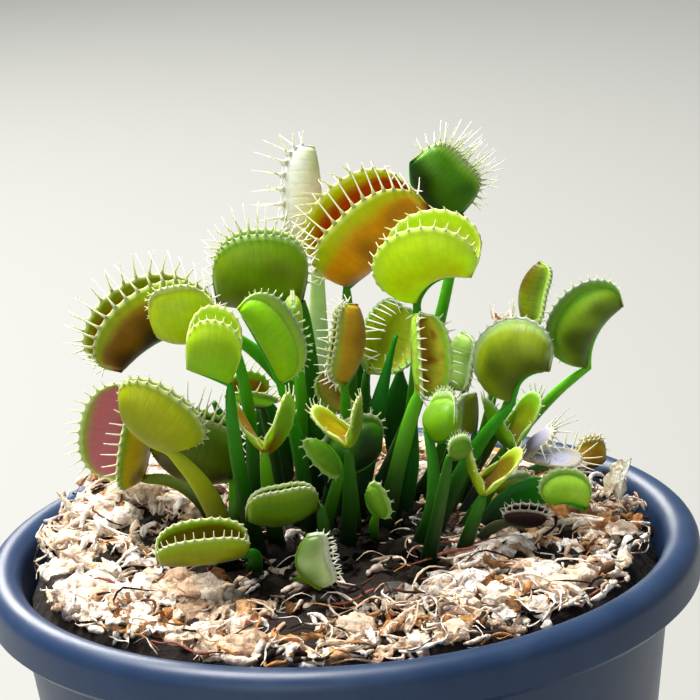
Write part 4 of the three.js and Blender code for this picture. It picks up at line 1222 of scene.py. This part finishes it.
# Some flakes stand up by the rim: middle, turns about x, y and z in degrees, form and colour.
STANDING_FLAKES = [
    ((64, 6, 125), (0, -78, 10), (14, 5.5, 2.2, 0.05), "f8f0e0"),
    ((62, 10, 126), (20, -60, 30), (9, 4, 1.6, 0.1), "f2e4cc"),
    ((-62, 16, 126), (10, -70, 160), (8, 3.5, 1.8, 0.1), "f6ecd8"),
]
flakes = add_flakes(FLAKES, 22, STANDING_FLAKES)
print("flake faces:", len(flakes.data.polygons))

# %% Strands and twigs
STRAND_POINTS = 9
STRAND_CURL = 0.45
STRAND_WANDER = 0.35
STRAND_SINK = -0.8
STRAND_HUMP = (-1, 2.2)
STRAND_KNOTS = (0.5, 1.4)
END_FULLNESS = 0.6
END_THICKNESS = 0.7
TWIG_COLOURS = ("6b3f34", "8c5446", "4a2c20")

def strand_path(draw, length, lift):
    """A line that wanders over the moss, from a random place inside the lip."""
    x, y = moss_place(draw)
    heading = draw.uniform(0, 2 * math.pi)
    curl = draw.uniform(-STRAND_CURL, STRAND_CURL)
    up = draw.uniform(STRAND_SINK, lift)
    hump = draw.uniform(*STRAND_HUMP)
    points = []
    for k in range(STRAND_POINTS):
        share = k / (STRAND_POINTS - 1)
        limit = MOSS_TO_RADIUS / max(math.hypot(x, y), MOSS_TO_RADIUS)
        x, y = x * limit, y * limit
        points.append(Vector((x, y, moss_height(x, y) + up + hump * math.sin(math.pi * share))))
        heading += curl + draw.uniform(-STRAND_WANDER, STRAND_WANDER)
        x += math.cos(heading) * length / STRAND_POINTS
        y += math.sin(heading) * length / STRAND_POINTS
    return points


def add_strands(name, count, seed, lengths, radii, lift, codes=None):
    """Curves with a bevel, because one curve object holds many strands cheaply, turned into a mesh."""
    draw = random.Random(seed)
    curve = bpy.data.curves.new(name, "CURVE")
    curve.dimensions = "3D"
    curve.bevel_depth = 1
    curve.bevel_resolution = 1
    curve.use_fill_caps = True
    colours = []
    span = STRAND_POINTS - 1
    for k in range(count):
        radius = draw.uniform(*radii)
        path = strand_path(draw, draw.uniform(*lengths), lift)
        spline = curve.splines.new("POLY")
        spline.points.add(span)
        for n, place in enumerate(path):
            taper = math.sin(math.pi * (n + END_THICKNESS) / (span + 2 * END_THICKNESS)) ** END_FULLNESS
            spline.points[n].co = (*place, 1)
            spline.points[n].radius = radius * taper * draw.uniform(*STRAND_KNOTS)
        x, y = path[0].x, path[0].y
        colours.append(rgb(draw.choice(codes)) * painted_shade_at(x, y) if codes else moss_colour(draw, x, y))
    tangle = bpy.data.objects.new(name, curve)
    bpy.context.collection.objects.link(tangle)
    mesh = bpy.data.meshes.new_from_object(tangle.evaluated_get(bpy.context.evaluated_depsgraph_get()))
    bpy.data.objects.remove(tangle)
    bm = bmesh.new()
    bm.from_mesh(mesh)
    bpy.data.meshes.remove(mesh)
    tone = bm.verts.layers.float_color.new("tone")
    per_strand = len(bm.verts) / count
    for v in bm.verts:
        v[tone] = (*colours[min(int(v.index / per_strand), count - 1)], 1)
    return make_piece(name, bm, moss_fibre, None)


thick = add_strands("moss_strands", 480, seed=11, lengths=(6, 15), radii=(0.4, 1.0), lift=2)
fine = add_strands("moss_threads", 700, seed=12, lengths=(6, 18), radii=(0.12, 0.35), lift=3.2)
twigs = add_strands("moss_twigs", 70, seed=13, lengths=(9, 26), radii=(0.18, 0.34), lift=4.5,
                    codes=TWIG_COLOURS)
print("moss faces:", [len(piece.data.polygons) for piece in (thick, fine, twigs)])
